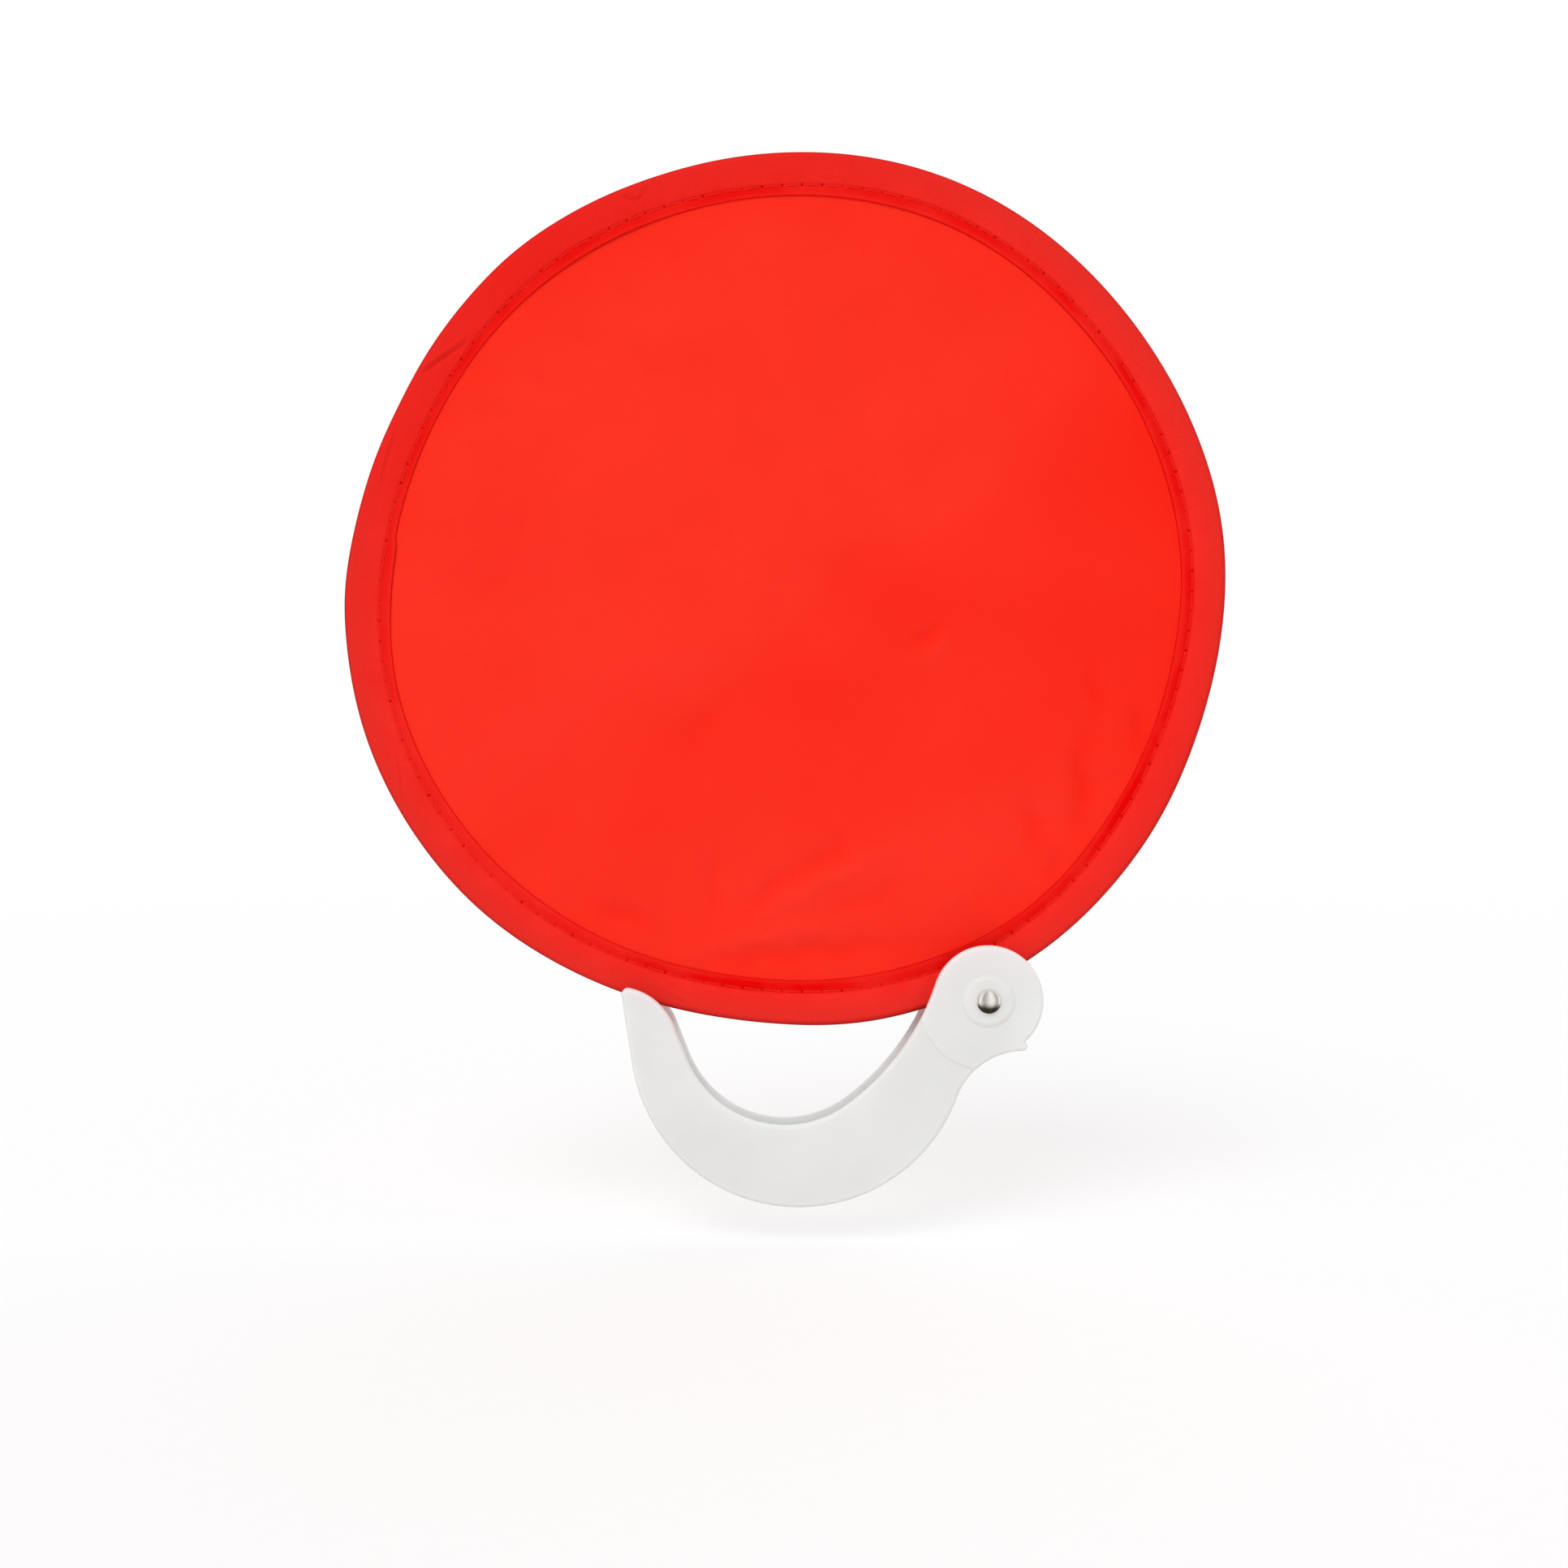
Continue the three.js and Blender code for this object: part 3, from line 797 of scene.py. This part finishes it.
def hem_side(angle, side, outset):
    """Points of one face of the hem, row by row from its inner edge to the nose."""
    rows = []
    seam = seam_inset(angle, side)
    for share in hem_shares():
        far = edge_inset(angle, side) if share < 0 else NOSE_RADIUS
        inset = seam + abs(share) * (far - seam)
        height = hem_height(angle, inset, side) + outset
        rows.append(fan_place(angle, inset, side * np.maximum(height, PANEL_THICKNESS / 2)))
    return rows


def hem_nose(angle, outset):
    """Points round the rim itself, from the front face to the back one."""
    rows = []
    radius = NOSE_RADIUS + outset
    for turn in np.linspace(0, HALF_TURN, 11)[1:-1]:
        rows.append(fan_place(angle, NOSE_RADIUS - radius * math.sin(turn), -radius * math.cos(turn)))
    return rows


def hem_face(angle, outset=0.0):
    """Rows of points over the hem, from its front inner edge round the rim to its back inner edge."""
    front = hem_side(angle, -1, outset)
    back = hem_side(angle, 1, outset)
    return front + hem_nose(angle, outset) + back[::-1]


def keep_on_points(made, name, values):
    """Keeps a number for every point of a mesh, for its material to read."""
    layer = made.data.attributes.new(name, "FLOAT", "POINT")
    layer.data.foreach_set("value", values)
    return made


def lay_flat(made, along, across):
    """Maps a swept strip to its flat size in metres: along the rim, and across the tape from the rim."""
    columns = len(along)
    corners = np.empty(len(made.data.loops), int)
    made.data.loops.foreach_get("vertex_index", corners)
    corners = corners.reshape(-1, 4)
    column = corners % columns
    last = (column.max(1) - column.min(1) > 1)[:, None] & (column == 0)
    flat = np.stack([along[column] + last * TAU * FAN_RADIUS, across[corners // columns]], axis=-1)
    layer = made.data.uv_layers.new(name="flat")
    layer.data.foreach_set("uv", flat.ravel() * MM)


def edge_binding():
    """The tape folded over the hoop and sewn down, with its thickness."""
    stitches = np.arange(STITCHES)[:, None]
    angle = ((stitches + np.array(STITCH_SHARES)) * STITCH_STEP).ravel()
    face = hem_face(angle)
    lining = slice(None, None, -4)
    rows = face + hem_face(angle, -TAPE_THICKNESS)[lining]
    faces = grid_faces(len(rows), len(angle), wrap_rows=True, wrap_columns=True)
    made = mesh_object("tape", np.concatenate(rows), faces)
    steps = np.linalg.norm(np.diff(np.stack(face), axis=0), axis=2).mean(1)
    across = np.concatenate([[0], np.cumsum(steps)])
    across = across - across[len(face) // 2]
    lay_flat(made, angle * FAN_RADIUS, np.concatenate([across, across[lining]]))
    # painted shade on the flange, deeper or paler round the rim
    keep_on_points(made, "pressed", np.tile(FLANGE_SHADE + patches(angle, FLANGE_SHADE_PATCHES), len(rows)))
    keep_on_points(made, "fresh", np.tile(patches(angle, FRESH), len(rows)))
    shadow_line = np.zeros(len(rows))
    shadow_line[[0, len(face) - 1, len(face), -1]] = 1  # both inner edges, on the face and on the lining, where a shadow line is painted
    keep_on_points(made, "shadow_line", np.repeat(shadow_line, len(angle)))
    return smooth(outward(made), math.radians(60))


def tube(path, radii, sides=6):
    """Rings of points round a path, and the faces of the closed tube through them."""
    along = np.gradient(path, axis=0)
    along /= np.linalg.norm(along, axis=1, keepdims=True)
    first = np.cross(along, [0, 1, 0])
    first /= np.linalg.norm(first, axis=1, keepdims=True)
    second = np.cross(along, first)
    turns = whole_turn(sides)
    ring = np.cos(turns)[None, :, None] * first[:, None] + np.sin(turns)[None, :, None] * second[:, None]
    points = path[:, None] + np.asarray(radii)[:, None, None] * ring
    faces = grid_faces(len(path), sides, wrap_columns=True) + end_faces(len(path), sides)
    return points.reshape(-1, 3), faces


def stitch_path(start, side, drift):
    """One stitch: out of its hole, along the tape and back into the next hole."""
    share = np.linspace(0.06, 0.94, STITCH_POINTS)
    angle = start + STITCH_STEP * share
    inset = seam_inset(angle, side) + drift * (share - 0.5)
    lift = THREAD_RADIUS * (1.6 * np.sin(HALF_TURN * share) - 0.6)
    return fan_place(angle, inset, side * (hem_height(angle, inset, side) + lift))


def rim_stitching():
    """Every stitch of the seam on both faces, and the back-tack where the tape's ends meet."""
    draw = np.random.default_rng(5)
    points, faces, count = [], [], 0
    swell = THREAD_RADIUS * np.sin(np.linspace(0.6, HALF_TURN - 0.6, STITCH_POINTS)) ** 0.5
    starts = [stitch * STITCH_STEP for stitch in range(STITCHES)]
    tack = round(TACK_BEARING / STITCH_STEP)
    starts += [(tack + shift) * STITCH_STEP for shift in (-0.8, -0.5, -0.2, 0.1)]
    for side in (-1, 1):
        for start in starts:
            ring, quads = tube(stitch_path(start, side, draw.normal(0, STITCH_DRIFT)), swell)
            faces += [tuple(count + corner for corner in quad) for quad in quads]
            points.append(ring)
            count += len(ring)
    return smooth(outward(mesh_object("stitches", np.concatenate(points), faces)), math.radians(70))


# Panel

def folds(across, up):
    """Soft folds in the cloth, each along a short line."""
    total = 0.0
    for place_across, place_up, half_length, lean, width, depth in FOLDS:
        turn = math.radians(lean)
        along = (across - place_across) * math.cos(turn) + (up - place_up) * math.sin(turn)
        off = (up - place_up) * math.cos(turn) - (across - place_across) * math.sin(turn)
        off = off + 0.7 * np.sin(along / 2.3 + place_up) + 0.4 * np.sin(along / 0.9 + place_across)
        total = total + depth * np.exp(-((along / half_length) ** 2) - (off / width) ** 2)
    return total


def panel_shade_tone(across, up):
    """Painted shade and tone on the cloth: a deeper red past the slack line and in the folds as painted
    shade, less of it along the bottom, deeper towards the hem, and a random cloudy tone.
    """
    place_across, place_up, lean, half_width = SLACK_LINE
    turn = math.radians(lean)
    past = (across - place_across) * math.sin(turn) - (up - place_up) * math.cos(turn)
    past = past + 5 * np.sin(up / 11 + across / 23) + 3 * np.sin(across / 6 - up / 9)
    deep = 0.5 + 0.5 * np.tanh(past / half_width)
    bottom = 0.5 - 0.5 * np.tanh((up + 62 - across / 9) / 9)
    cloudy = np.sin(across / 15 + 1.7 * np.sin(up / 19)) * np.sin(up / 12 + 1.3 * np.sin(across / 22))
    from_hem = np.clip(FAN_RADIUS - HEM_WIDTH - np.hypot(across, up), 0, None)
    edge = np.exp(-from_hem / EDGE_TONE_REACH) * (1 - patches(np.arctan2(up, across), EDGE_PALE))
    tone = TONE_LEVEL + SLACK_SHADE * deep * (1 - 0.75 * bottom) + CLOUD_TONE * cloudy
    return tone + EDGE_TONE * edge + FOLD_SHADE * folds(across, up)


def paint_shade_tone(made):
    """Keeps the painted shade and tone, how deep the red is, on every point of the cloth."""
    across, up = (points_of(made)[:, [0, 2]] - FAN_CENTRE).T
    return keep_on_points(made, "tone", panel_shade_tone(across, up))


def panel_sag(angle, inset):
    """How far the cloth lies from the fan's middle plane: slack waves, folds, and wrinkles from the seam."""
    radius = (FAN_RADIUS - inset) * rim_stretch(angle)
    across = radius * np.cos(angle)
    up = radius * np.sin(angle)
    free = 1 - np.clip(radius / (FAN_RADIUS - SEAM_INSET), 0, 1) ** 6
    broad, middling, short = SLACK_HEIGHTS
    slack = broad * np.sin(across / 31 + 0.6) * np.cos(up / 37 - 0.9)
    slack = slack + middling * np.sin((across + 0.6 * up) / 13 + 2.1 + np.sin(up / 29))
    slack = slack + short * np.sin((0.5 * across - up) / 8.5 + 1.4 * np.sin(across / 26))
    from_hem = np.clip(inset - HEM_WIDTH, 0, None)
    height, reach = WRINKLE
    fine_height, fine_reach = FINE_WRINKLE
    drawn = np.exp(-from_hem / reach) * np.clip(from_hem / 3, 0, 1)
    wrinkles = height * (0.3 + patches(angle, DRAWN)) * ripple(angle + 0.004 * from_hem, 20, 56, 61)
    fine = fine_height * ripple(angle, 90, 140, 62) * np.exp(-from_hem / fine_reach)
    return slack * free + (wrinkles + fine) * drawn + folds(across, up)


def fan_panel():
    """The cloth disc, tucked into the hem."""
    angle = whole_turn(PANEL_SPOKES)
    reach = FAN_RADIUS - SEAM_INSET + PANEL_TUCK
    rows = []
    for share in np.linspace(1 / PANEL_RINGS, 1, PANEL_RINGS) ** 0.85:
        inset = FAN_RADIUS - share * reach
        rows.append(fan_place(angle, inset, panel_sag(angle, inset)))
    middle = rows[0].mean(0, keepdims=True)
    points = np.concatenate([*rows, middle])
    faces = grid_faces(PANEL_RINGS, PANEL_SPOKES, wrap_columns=True)
    faces += [(i, (i + 1) % PANEL_SPOKES, len(points) - 1) for i in range(PANEL_SPOKES)]
    made = mesh_object("cloth", points, faces)
    thicken = made.modifiers.new("cloth", "SOLIDIFY")
    thicken.thickness = PANEL_THICKNESS * MM
    thicken.offset = 0
    apply_modifiers(made)
    return paint_shade_tone(smooth(outward(made), math.radians(60)))


# Tab between the hem and the bush

def hem_run(middle, half_angle, outer, inner=None):
    """A short closed run of the hem's section, or of a fold that lies over it."""
    angle = np.linspace(middle - half_angle, middle + half_angle, 25)
    rows = hem_face(angle, outer)
    if inner is not None:
        rows = rows + hem_face(angle, inner)[::-1]
    faces = grid_faces(len(rows), len(angle), wrap_rows=True)
    for column in (0, len(angle) - 1):
        faces.append(tuple(row * len(angle) + column for row in range(len(rows))))
    return outward(mesh_object("run", np.stack(rows), faces))


def pivot_tab():
    """A tape folded over the hem, drawn together into the eye that turns on the bush."""
    to_pivot = bearing(FAN_CENTRE, PIVOT)
    half_angle = TAB_HALF_WIDTH / FAN_RADIUS
    strap = hem_run(to_pivot, half_angle, CLOTH_GAP + TAB_THICKNESS, CLOTH_GAP)
    eye = disc(TAB_HALF_WIDTH, -TAB_HALF, TAB_HALF, TAB_THICKNESS)
    eye = cut(eye, hem_run(to_pivot, 2 * half_angle, CLOTH_GAP))
    eye = cut(eye, disc(BUSH_RADIUS + CLOTH_GAP, -CHEEK_FACE, CHEEK_FACE))
    return smooth(join(eye, strap))


# Materials: helpers

def node_of(look, kind):
    """The first node of a kind in a look, which is a material or the world."""
    return next(node for node in look.node_tree.nodes if node.type == kind)


def new_material(name):
    look = bpy.data.materials.new(name)
    look.use_nodes = True
    return look


def give(look, node, inputs):
    """Links each input of a node to another node's output, or sets it to a number or a colour."""
    for name, value in inputs.items():
        socket = node.inputs[name]
        if isinstance(value, bpy.types.NodeSocket):
            look.node_tree.links.new(value, socket)
        else:
            socket.default_value = (*value, 1) if socket.type == "RGBA" else value


def add_node(look, kind, inputs=None, **settings):
    """A new node with its settings and its inputs."""
    node = look.node_tree.nodes.new("ShaderNode" + kind)
    for name, value in settings.items():
        setattr(node, name, value)
    give(look, node, inputs or {})
    return node


def arithmetic(look, operation, *values):
    return add_node(look, "Math", dict(enumerate(values)), operation=operation).outputs["Value"]


def times(look, first, second):
    return arithmetic(look, "MULTIPLY", first, second)


def split(look, vector):
    return add_node(look, "SeparateXYZ", {"Vector": vector}).outputs


def place_in(look, kind="Object"):
    return add_node(look, "TexCoord").outputs[kind]


def kept(look, name):
    """The number that a mesh keeps on its points under a name."""
    return add_node(look, "Attribute", attribute_name=name).outputs["Fac"]


def stretched(look, vector, scale):
    return add_node(look, "Mapping", {"Vector": vector, "Scale": scale}).outputs["Vector"]


def noise(look, scale, detail=3.0, roughness=0.5, vector=None):
    """Noise over the piece's own place, or over another vector."""
    vector = place_in(look) if vector is None else vector
    inputs = {"Vector": vector, "Scale": scale, "Detail": detail, "Roughness": roughness}
    return add_node(look, "TexNoise", inputs).outputs["Fac"]


def ranged(look, value, start, end, low=0.0, high=1.0):
    """A number that eases from low to high as a value runs from start to end."""
    inputs = {"Value": value, "From Min": start, "From Max": end, "To Min": low, "To Max": high}
    node = add_node(look, "MapRange", inputs, interpolation_type="SMOOTHSTEP")
    return node.outputs["Result"]


def blend(look, share, first, second):
    """A colour between two."""
    return add_node(look, "Mix", {0: share, 6: first, 7: second}, data_type="RGBA").outputs[2]


def choose(look, share, first, second):
    """A number between two."""
    return add_node(look, "Mix", {0: share, 2: first, 3: second}, data_type="FLOAT").outputs[0]


def uneven(look, share, low=0.0, high=1.0):
    """A number that runs from low to high as a noise runs over its middle."""
    return ranged(look, share, *NOISE_MIDDLE, low, high)


def mottled(look, share, first, second):
    """A colour that runs from one to the other as a noise runs over its middle."""
    return blend(look, uneven(look, share), first, second)


def threads(look, coordinate, pitch):
    """A row of round threads along one coordinate in metres, 0 to 1 high."""
    turns = times(look, coordinate, TAU / pitch)
    return arithmetic(look, "MULTIPLY_ADD", arithmetic(look, "SINE", turns), 0.5, 0.5)


def shine(level):
    return {"Specular IOR Level": level}


def surface(look, colour, roughness, more, *bumps):
    """Fills a material's shader. Each bump has its height, its depth in metres and its strength."""
    shader = node_of(look, "BSDF_PRINCIPLED")
    give(look, shader, {"Base Color": colour, "Roughness": roughness} | more)
    under = {}
    for height, depth, strength in bumps:
        inputs = {"Height": height, "Distance": depth, "Strength": strength}
        under = {"Normal": add_node(look, "Bump", inputs | under).outputs["Normal"]}
    give(look, shader, under)
    return look


# Materials

def white_plastic():
    """Milky moulded plastic that lets some light through."""
    look = new_material("white_plastic")
    colour = mottled(look, noise(look, 45, 4), *PLASTIC_WHITES)
    roughness = uneven(look, noise(look, 140, 6, 0.6), 0.36, 0.5)
    milky = {
        "Specular IOR Level": 0.4,
        "Subsurface Weight": 0.9,
        "Subsurface Radius": (1, 1, 0.95),
        "Subsurface Scale": 0.002,
    }
    grain = noise(look, 2600, 2)
    flow = noise(look, 90, 2)
    return surface(look, colour, roughness, milky, (grain, 0.00002, 0.25), (flow, 0.00025, 0.1))


def polished_nickel():
    look = new_material("polished_nickel")
    dull = noise(look, 900, 5, 0.6)
    colour = mottled(look, dull, *NICKEL_TINTS)
    scratches = noise(look, 1, 3, vector=stretched(look, place_in(look), (9000, 9000, 700)))
    return surface(look, colour, uneven(look, dull, 0.13, 0.22), METAL, (scratches, 0.00001, 0.15))


def spring_steel():
    look = new_material("spring_steel")
    drawn = noise(look, 1, 4, vector=stretched(look, place_in(look), (300, 6000, 300)))
    colour = mottled(look, drawn, *STEEL_TINTS)
    return surface(look, colour, uneven(look, drawn, 0.28, 0.42), METAL, (drawn, 0.00001, 0.2))


def panel_cloth():
    """Thin plain-woven polyester."""
    look = new_material("panel_cloth")
    colour = mottled(look, noise(look, 30, 4, 0.55), *CLOTH_REDS)
    # painted shade past the slack line and in the folds, with a random tone
    colour = blend(look, kept(look, "tone"), colour, CLOTH_SHADE_TONE_RED)
    roughness = uneven(look, noise(look, 400), 0.42, 0.52)
    across, _, up = split(look, place_in(look))
    weave = arithmetic(look, "MAXIMUM", threads(look, across, CLOTH_WARP), threads(look, up, CLOTH_WEFT))
    crumple = noise(look, 120, 4)
    return surface(look, colour, roughness, shine(0.15), (weave, 0.00003, 0.25), (crumple, 0.0002, 0.1))


def needle_hole_shade(look, along, from_rim):
    """Painted shade: 1 in each needle hole of the seam, and 0 elsewhere."""
    turns = times(look, along, TAU / (STITCH_STEP * FAN_RADIUS * MM))
    near = ranged(look, arithmetic(look, "COSINE", turns), 0.86, 0.97)
    off = arithmetic(look, "ABSOLUTE", arithmetic(look, "SUBTRACT", from_rim, SEAM_FROM_RIM * MM))
    hole = times(look, near, ranged(look, off, 0.0002, 0.0006, 1, 0))
    patchy = noise(look, 1, 2, vector=stretched(look, place_in(look), (90, 90, 90)))
    return times(look, hole, ranged(look, patchy, 0.4, 0.6, 0.25, 1))


def painted_flange_shade(look, flat, from_rim):
    """Painted shade on the flange: deepest red by the seam, and fading to its edge."""
    seam = SEAM_FROM_RIM * MM
    flange = ranged(look, from_rim, seam - 0.0011, seam + 0.0002)
    faded = ranged(look, from_rim, seam + 0.0013, seam + 0.003, 1, 0.5)
    patchy = noise(look, 1, 3, vector=stretched(look, flat, (40, 90, 1)))
    deep = times(look, flange, faded)
    deep = times(look, deep, ranged(look, patchy, 0.36, 0.6, 0.65, 1.2))
    return times(look, deep, kept(look, "pressed"))


def binding_tape():
    """Ribbed tape with painted light: a painted sheen towards the rim, painted shade that deepens the red on
    the flange inside the seam, darkens it along the fold at the rim and in the needle holes, and a painted
    shadow line along the inner edge.
    """
    look = new_material("binding_tape")
    flat = add_node(look, "UVMap", uv_map="flat").outputs["UV"]
    along, across, _ = split(look, flat)
    from_rim = arithmetic(look, "ABSOLUTE", across)
    ribs = threads(look, arithmetic(look, "MULTIPLY_ADD", across, 0.5, along), TAPE_RIB)
    colour = mottled(look, noise(look, 60, 4, 0.6), *BAND_REDS)
    # painted sheen towards the rim, greyer and darker
    colour = blend(look, ranged(look, from_rim, 0.002, 0.0105), RIM_SHEEN_RED, colour)
    colour = blend(look, kept(look, "fresh"), colour, FRESH_RED)
    # painted shade on the flange
    colour = blend(look, painted_flange_shade(look, flat, from_rim), colour, FLANGE_SHADE_RED)
    # painted shadow line along the tape's inner edges
    colour = blend(look, ranged(look, kept(look, "shadow_line"), 0.3, 0.9), colour, EDGE_SHADOW_RED)
    colour = blend(look, times(look, ribs, 0.1), colour, RIB_RED)
    # painted shade where the tape turns over the rim
    colour = blend(look, ranged(look, from_rim, 0.0004, 0.0024, 1, 0), colour, RIM_SHADE_RED)
    # painted shade in the needle holes
    colour = blend(look, needle_hole_shade(look, along, from_rim), colour, HOLE_SHADE_RED)
    roughness = uneven(look, noise(look, 500), 0.52, 0.66)
    weave = arithmetic(look, "MULTIPLY_ADD", threads(look, across, TAPE_WEFT), -0.35, ribs)
    crumple = noise(look, 240, 4)
    return surface(look, colour, roughness, shine(0.02), (weave, -0.00008, 0.5), (crumple, 0.00025, 0.14))


def tab_tape():
    """The same tape as the binding's, woven across the tab."""
    look = new_material("tab_tape")
    colour = mottled(look, noise(look, 60, 4, 0.6), *TAB_REDS)
    roughness = uneven(look, noise(look, 500), 0.52, 0.66)
    across, _, up = split(look, place_in(look))
    weave = threads(look, across, TAB_WARP)
    weave = arithmetic(look, "MULTIPLY_ADD", threads(look, up, TAB_WEFT), 0.35, weave)
    return surface(look, colour, roughness, shine(0.1), (weave, 0.00005, 0.4))


def sewing_thread():
    look = new_material("sewing_thread")
    ply = noise(look, 5200, 2)
    colour = mottled(look, ply, *THREAD_REDS)
    return surface(look, colour, uneven(look, ply, 0.42, 0.58), shine(0.2), (ply, 0.00005, 0.5))


def seen_directly(look):
    """1 for camera, glossy and transmission rays, and 0 for the light that falls on things."""
    path = add_node(look, "LightPath").outputs
    seen = arithmetic(look, "MAXIMUM", path["Is Camera Ray"], path["Is Glossy Ray"])
    return arithmetic(look, "MAXIMUM", seen, path["Is Transmission Ray"])


def floor_paper():
    """Pale paper, seen as a mix of lit paper and plain white, and as plain white far from the fan."""
    look = new_material("floor_paper")
    surface(look, mottled(look, noise(look, 220, 3), *PAPER_WHITES), 0.9, shine(0.0))
    away = add_node(look, "VectorMath", {0: place_in(look)}, operation="LENGTH").outputs["Value"]
    white = ranged(look, away, 0.5, 2.2, FLOOR_GLOW, 1)
    mix = add_node(look, "MixShader", {
        "Fac": times(look, seen_directly(look), white),
        1: node_of(look, "BSDF_PRINCIPLED").outputs["BSDF"],
        2: add_node(look, "Emission").outputs["Emission"],
    })
    give(look, node_of(look, "OUTPUT_MATERIAL"), {"Surface": mix.outputs["Shader"]})
    return look


# Stage

def make_floor():
    corners = [(-1, -1), (1, -1), (1, 1), (-1, 1)]
    points = [(x * FLOOR_HALF / MM, y * FLOOR_HALF / MM, FLOOR_LEVEL / MM) for x, y in corners]
    floor = mesh_object("floor", points, [(0, 1, 2, 3)])
    floor.data.materials.append(floor_paper())
    floor.visible_glossy = False


def make_world():
    """White where it is seen, even light on things, and in reflections upright strips over a dark table."""
    world = bpy.data.worlds.new("studio")
    world.use_nodes = True
    bpy.context.scene.world = world
    across, away, up = split(world, place_in(world, "Generated"))
    turn = arithmetic(world, "ARCTAN2", across, times(world, away, -1))
    turn = arithmetic(world, "MULTIPLY_ADD", turn, STRIPS, -STRIPS * STRIP_BEARING)
    strips = arithmetic(world, "COSINE", turn)
    strips = times(world, strips, ranged(world, up, 0.5, 0.95, STRIP_SWING, 0))
    strips = arithmetic(world, "ADD", strips, 1 - STRIP_SWING)
    table = ranged(world, up, TABLE_EDGE - TABLE_DEPTH, TABLE_EDGE, TABLE_LEVEL, 1)
    studio = times(world, strips, table)
    path = add_node(world, "LightPath").outputs
    level = choose(world, path["Is Glossy Ray"], AMBIENT, studio)
    seen = arithmetic(world, "MAXIMUM", path["Is Camera Ray"], path["Is Transmission Ray"])
    give(world, node_of(world, "BACKGROUND"), {
        "Color": blend(world, table, TABLE_TINT, (1, 1, 1)),
        "Strength": choose(world, seen, level, 1.0),
    })


def make_sun(name, towards, level, spread):
    lamp = bpy.data.lights.new(name, "SUN")
    lamp.energy = level * math.pi
    lamp.angle = spread
    sun = new_object(name, lamp)
    sun.rotation_mode = "QUATERNION"
    sun.rotation_quaternion = Vector(towards).to_track_quat("Z", "Y")
    sun.visible_glossy = False


def make_camera():
    lens = bpy.data.cameras.new("camera")
    lens.lens = LENS
    lens.sensor_width = SENSOR_WIDTH
    camera = new_object("camera", lens)
    camera.location = CAMERA_PLACE
    camera.rotation_euler = (QUARTER_TURN, 0, 0)
    bpy.context.scene.camera = camera


# Making it

make_camera()
make_world()
make_floor()
make_sun("key", KEY_FROM, KEY_LEVEL, KEY_SPREAD)
make_sun("back", BACK_FROM, BACK_LEVEL, BACK_SPREAD)
bpy.context.scene.view_settings.view_transform = "Standard"

plastic = white_plastic()
nickel = polished_nickel()
steel = spring_steel()

envelope = handle_envelope()
front = finish_moulding(handle_shell(-1, envelope))
back = finish_moulding(handle_shell(1, envelope))
bpy.data.objects.remove(envelope)
dress(front, "handle_front", plastic, "handle", "handle_plastic", "handle_front_shell")
dress(back, "handle_back", plastic, "handle", "handle_plastic", "handle_back_shell")
rivet = dress(rivet_post(), "rivet", nickel, "handle", "rivet_nickel", "rivet_post")
cap = dress(rivet_back_cap(), "rivet_cap", nickel, "handle", "rivet_nickel", "rivet_back_cap")
for polished in (rivet, cap):
    polished.visible_diffuse = False  # polished metal sends on the soft light that it meets
dress(pivot_bush(), "bush", steel, "handle", "spring_steel", "pivot_bush")

panel = dress(fan_panel(), "fan_panel_cloth", panel_cloth(), "fan", "panel_cloth", "fan_panel")
binding = dress(edge_binding(), "edge_binding_tape", binding_tape(), "fan", "binding_tape", "edge_binding")
stitching = dress(rim_stitching(), "rim_stitching", sewing_thread(), "fan", "binding_tape")
tab = dress(pivot_tab(), "tab", tab_tape(), "fan", "binding_tape", "pivot_tab")
for name in ("spring_hoop", "hoop_ferrule"):
    node = frame["nodes"][name]
    node.data.materials.clear()
    node.data.materials.append(steel)
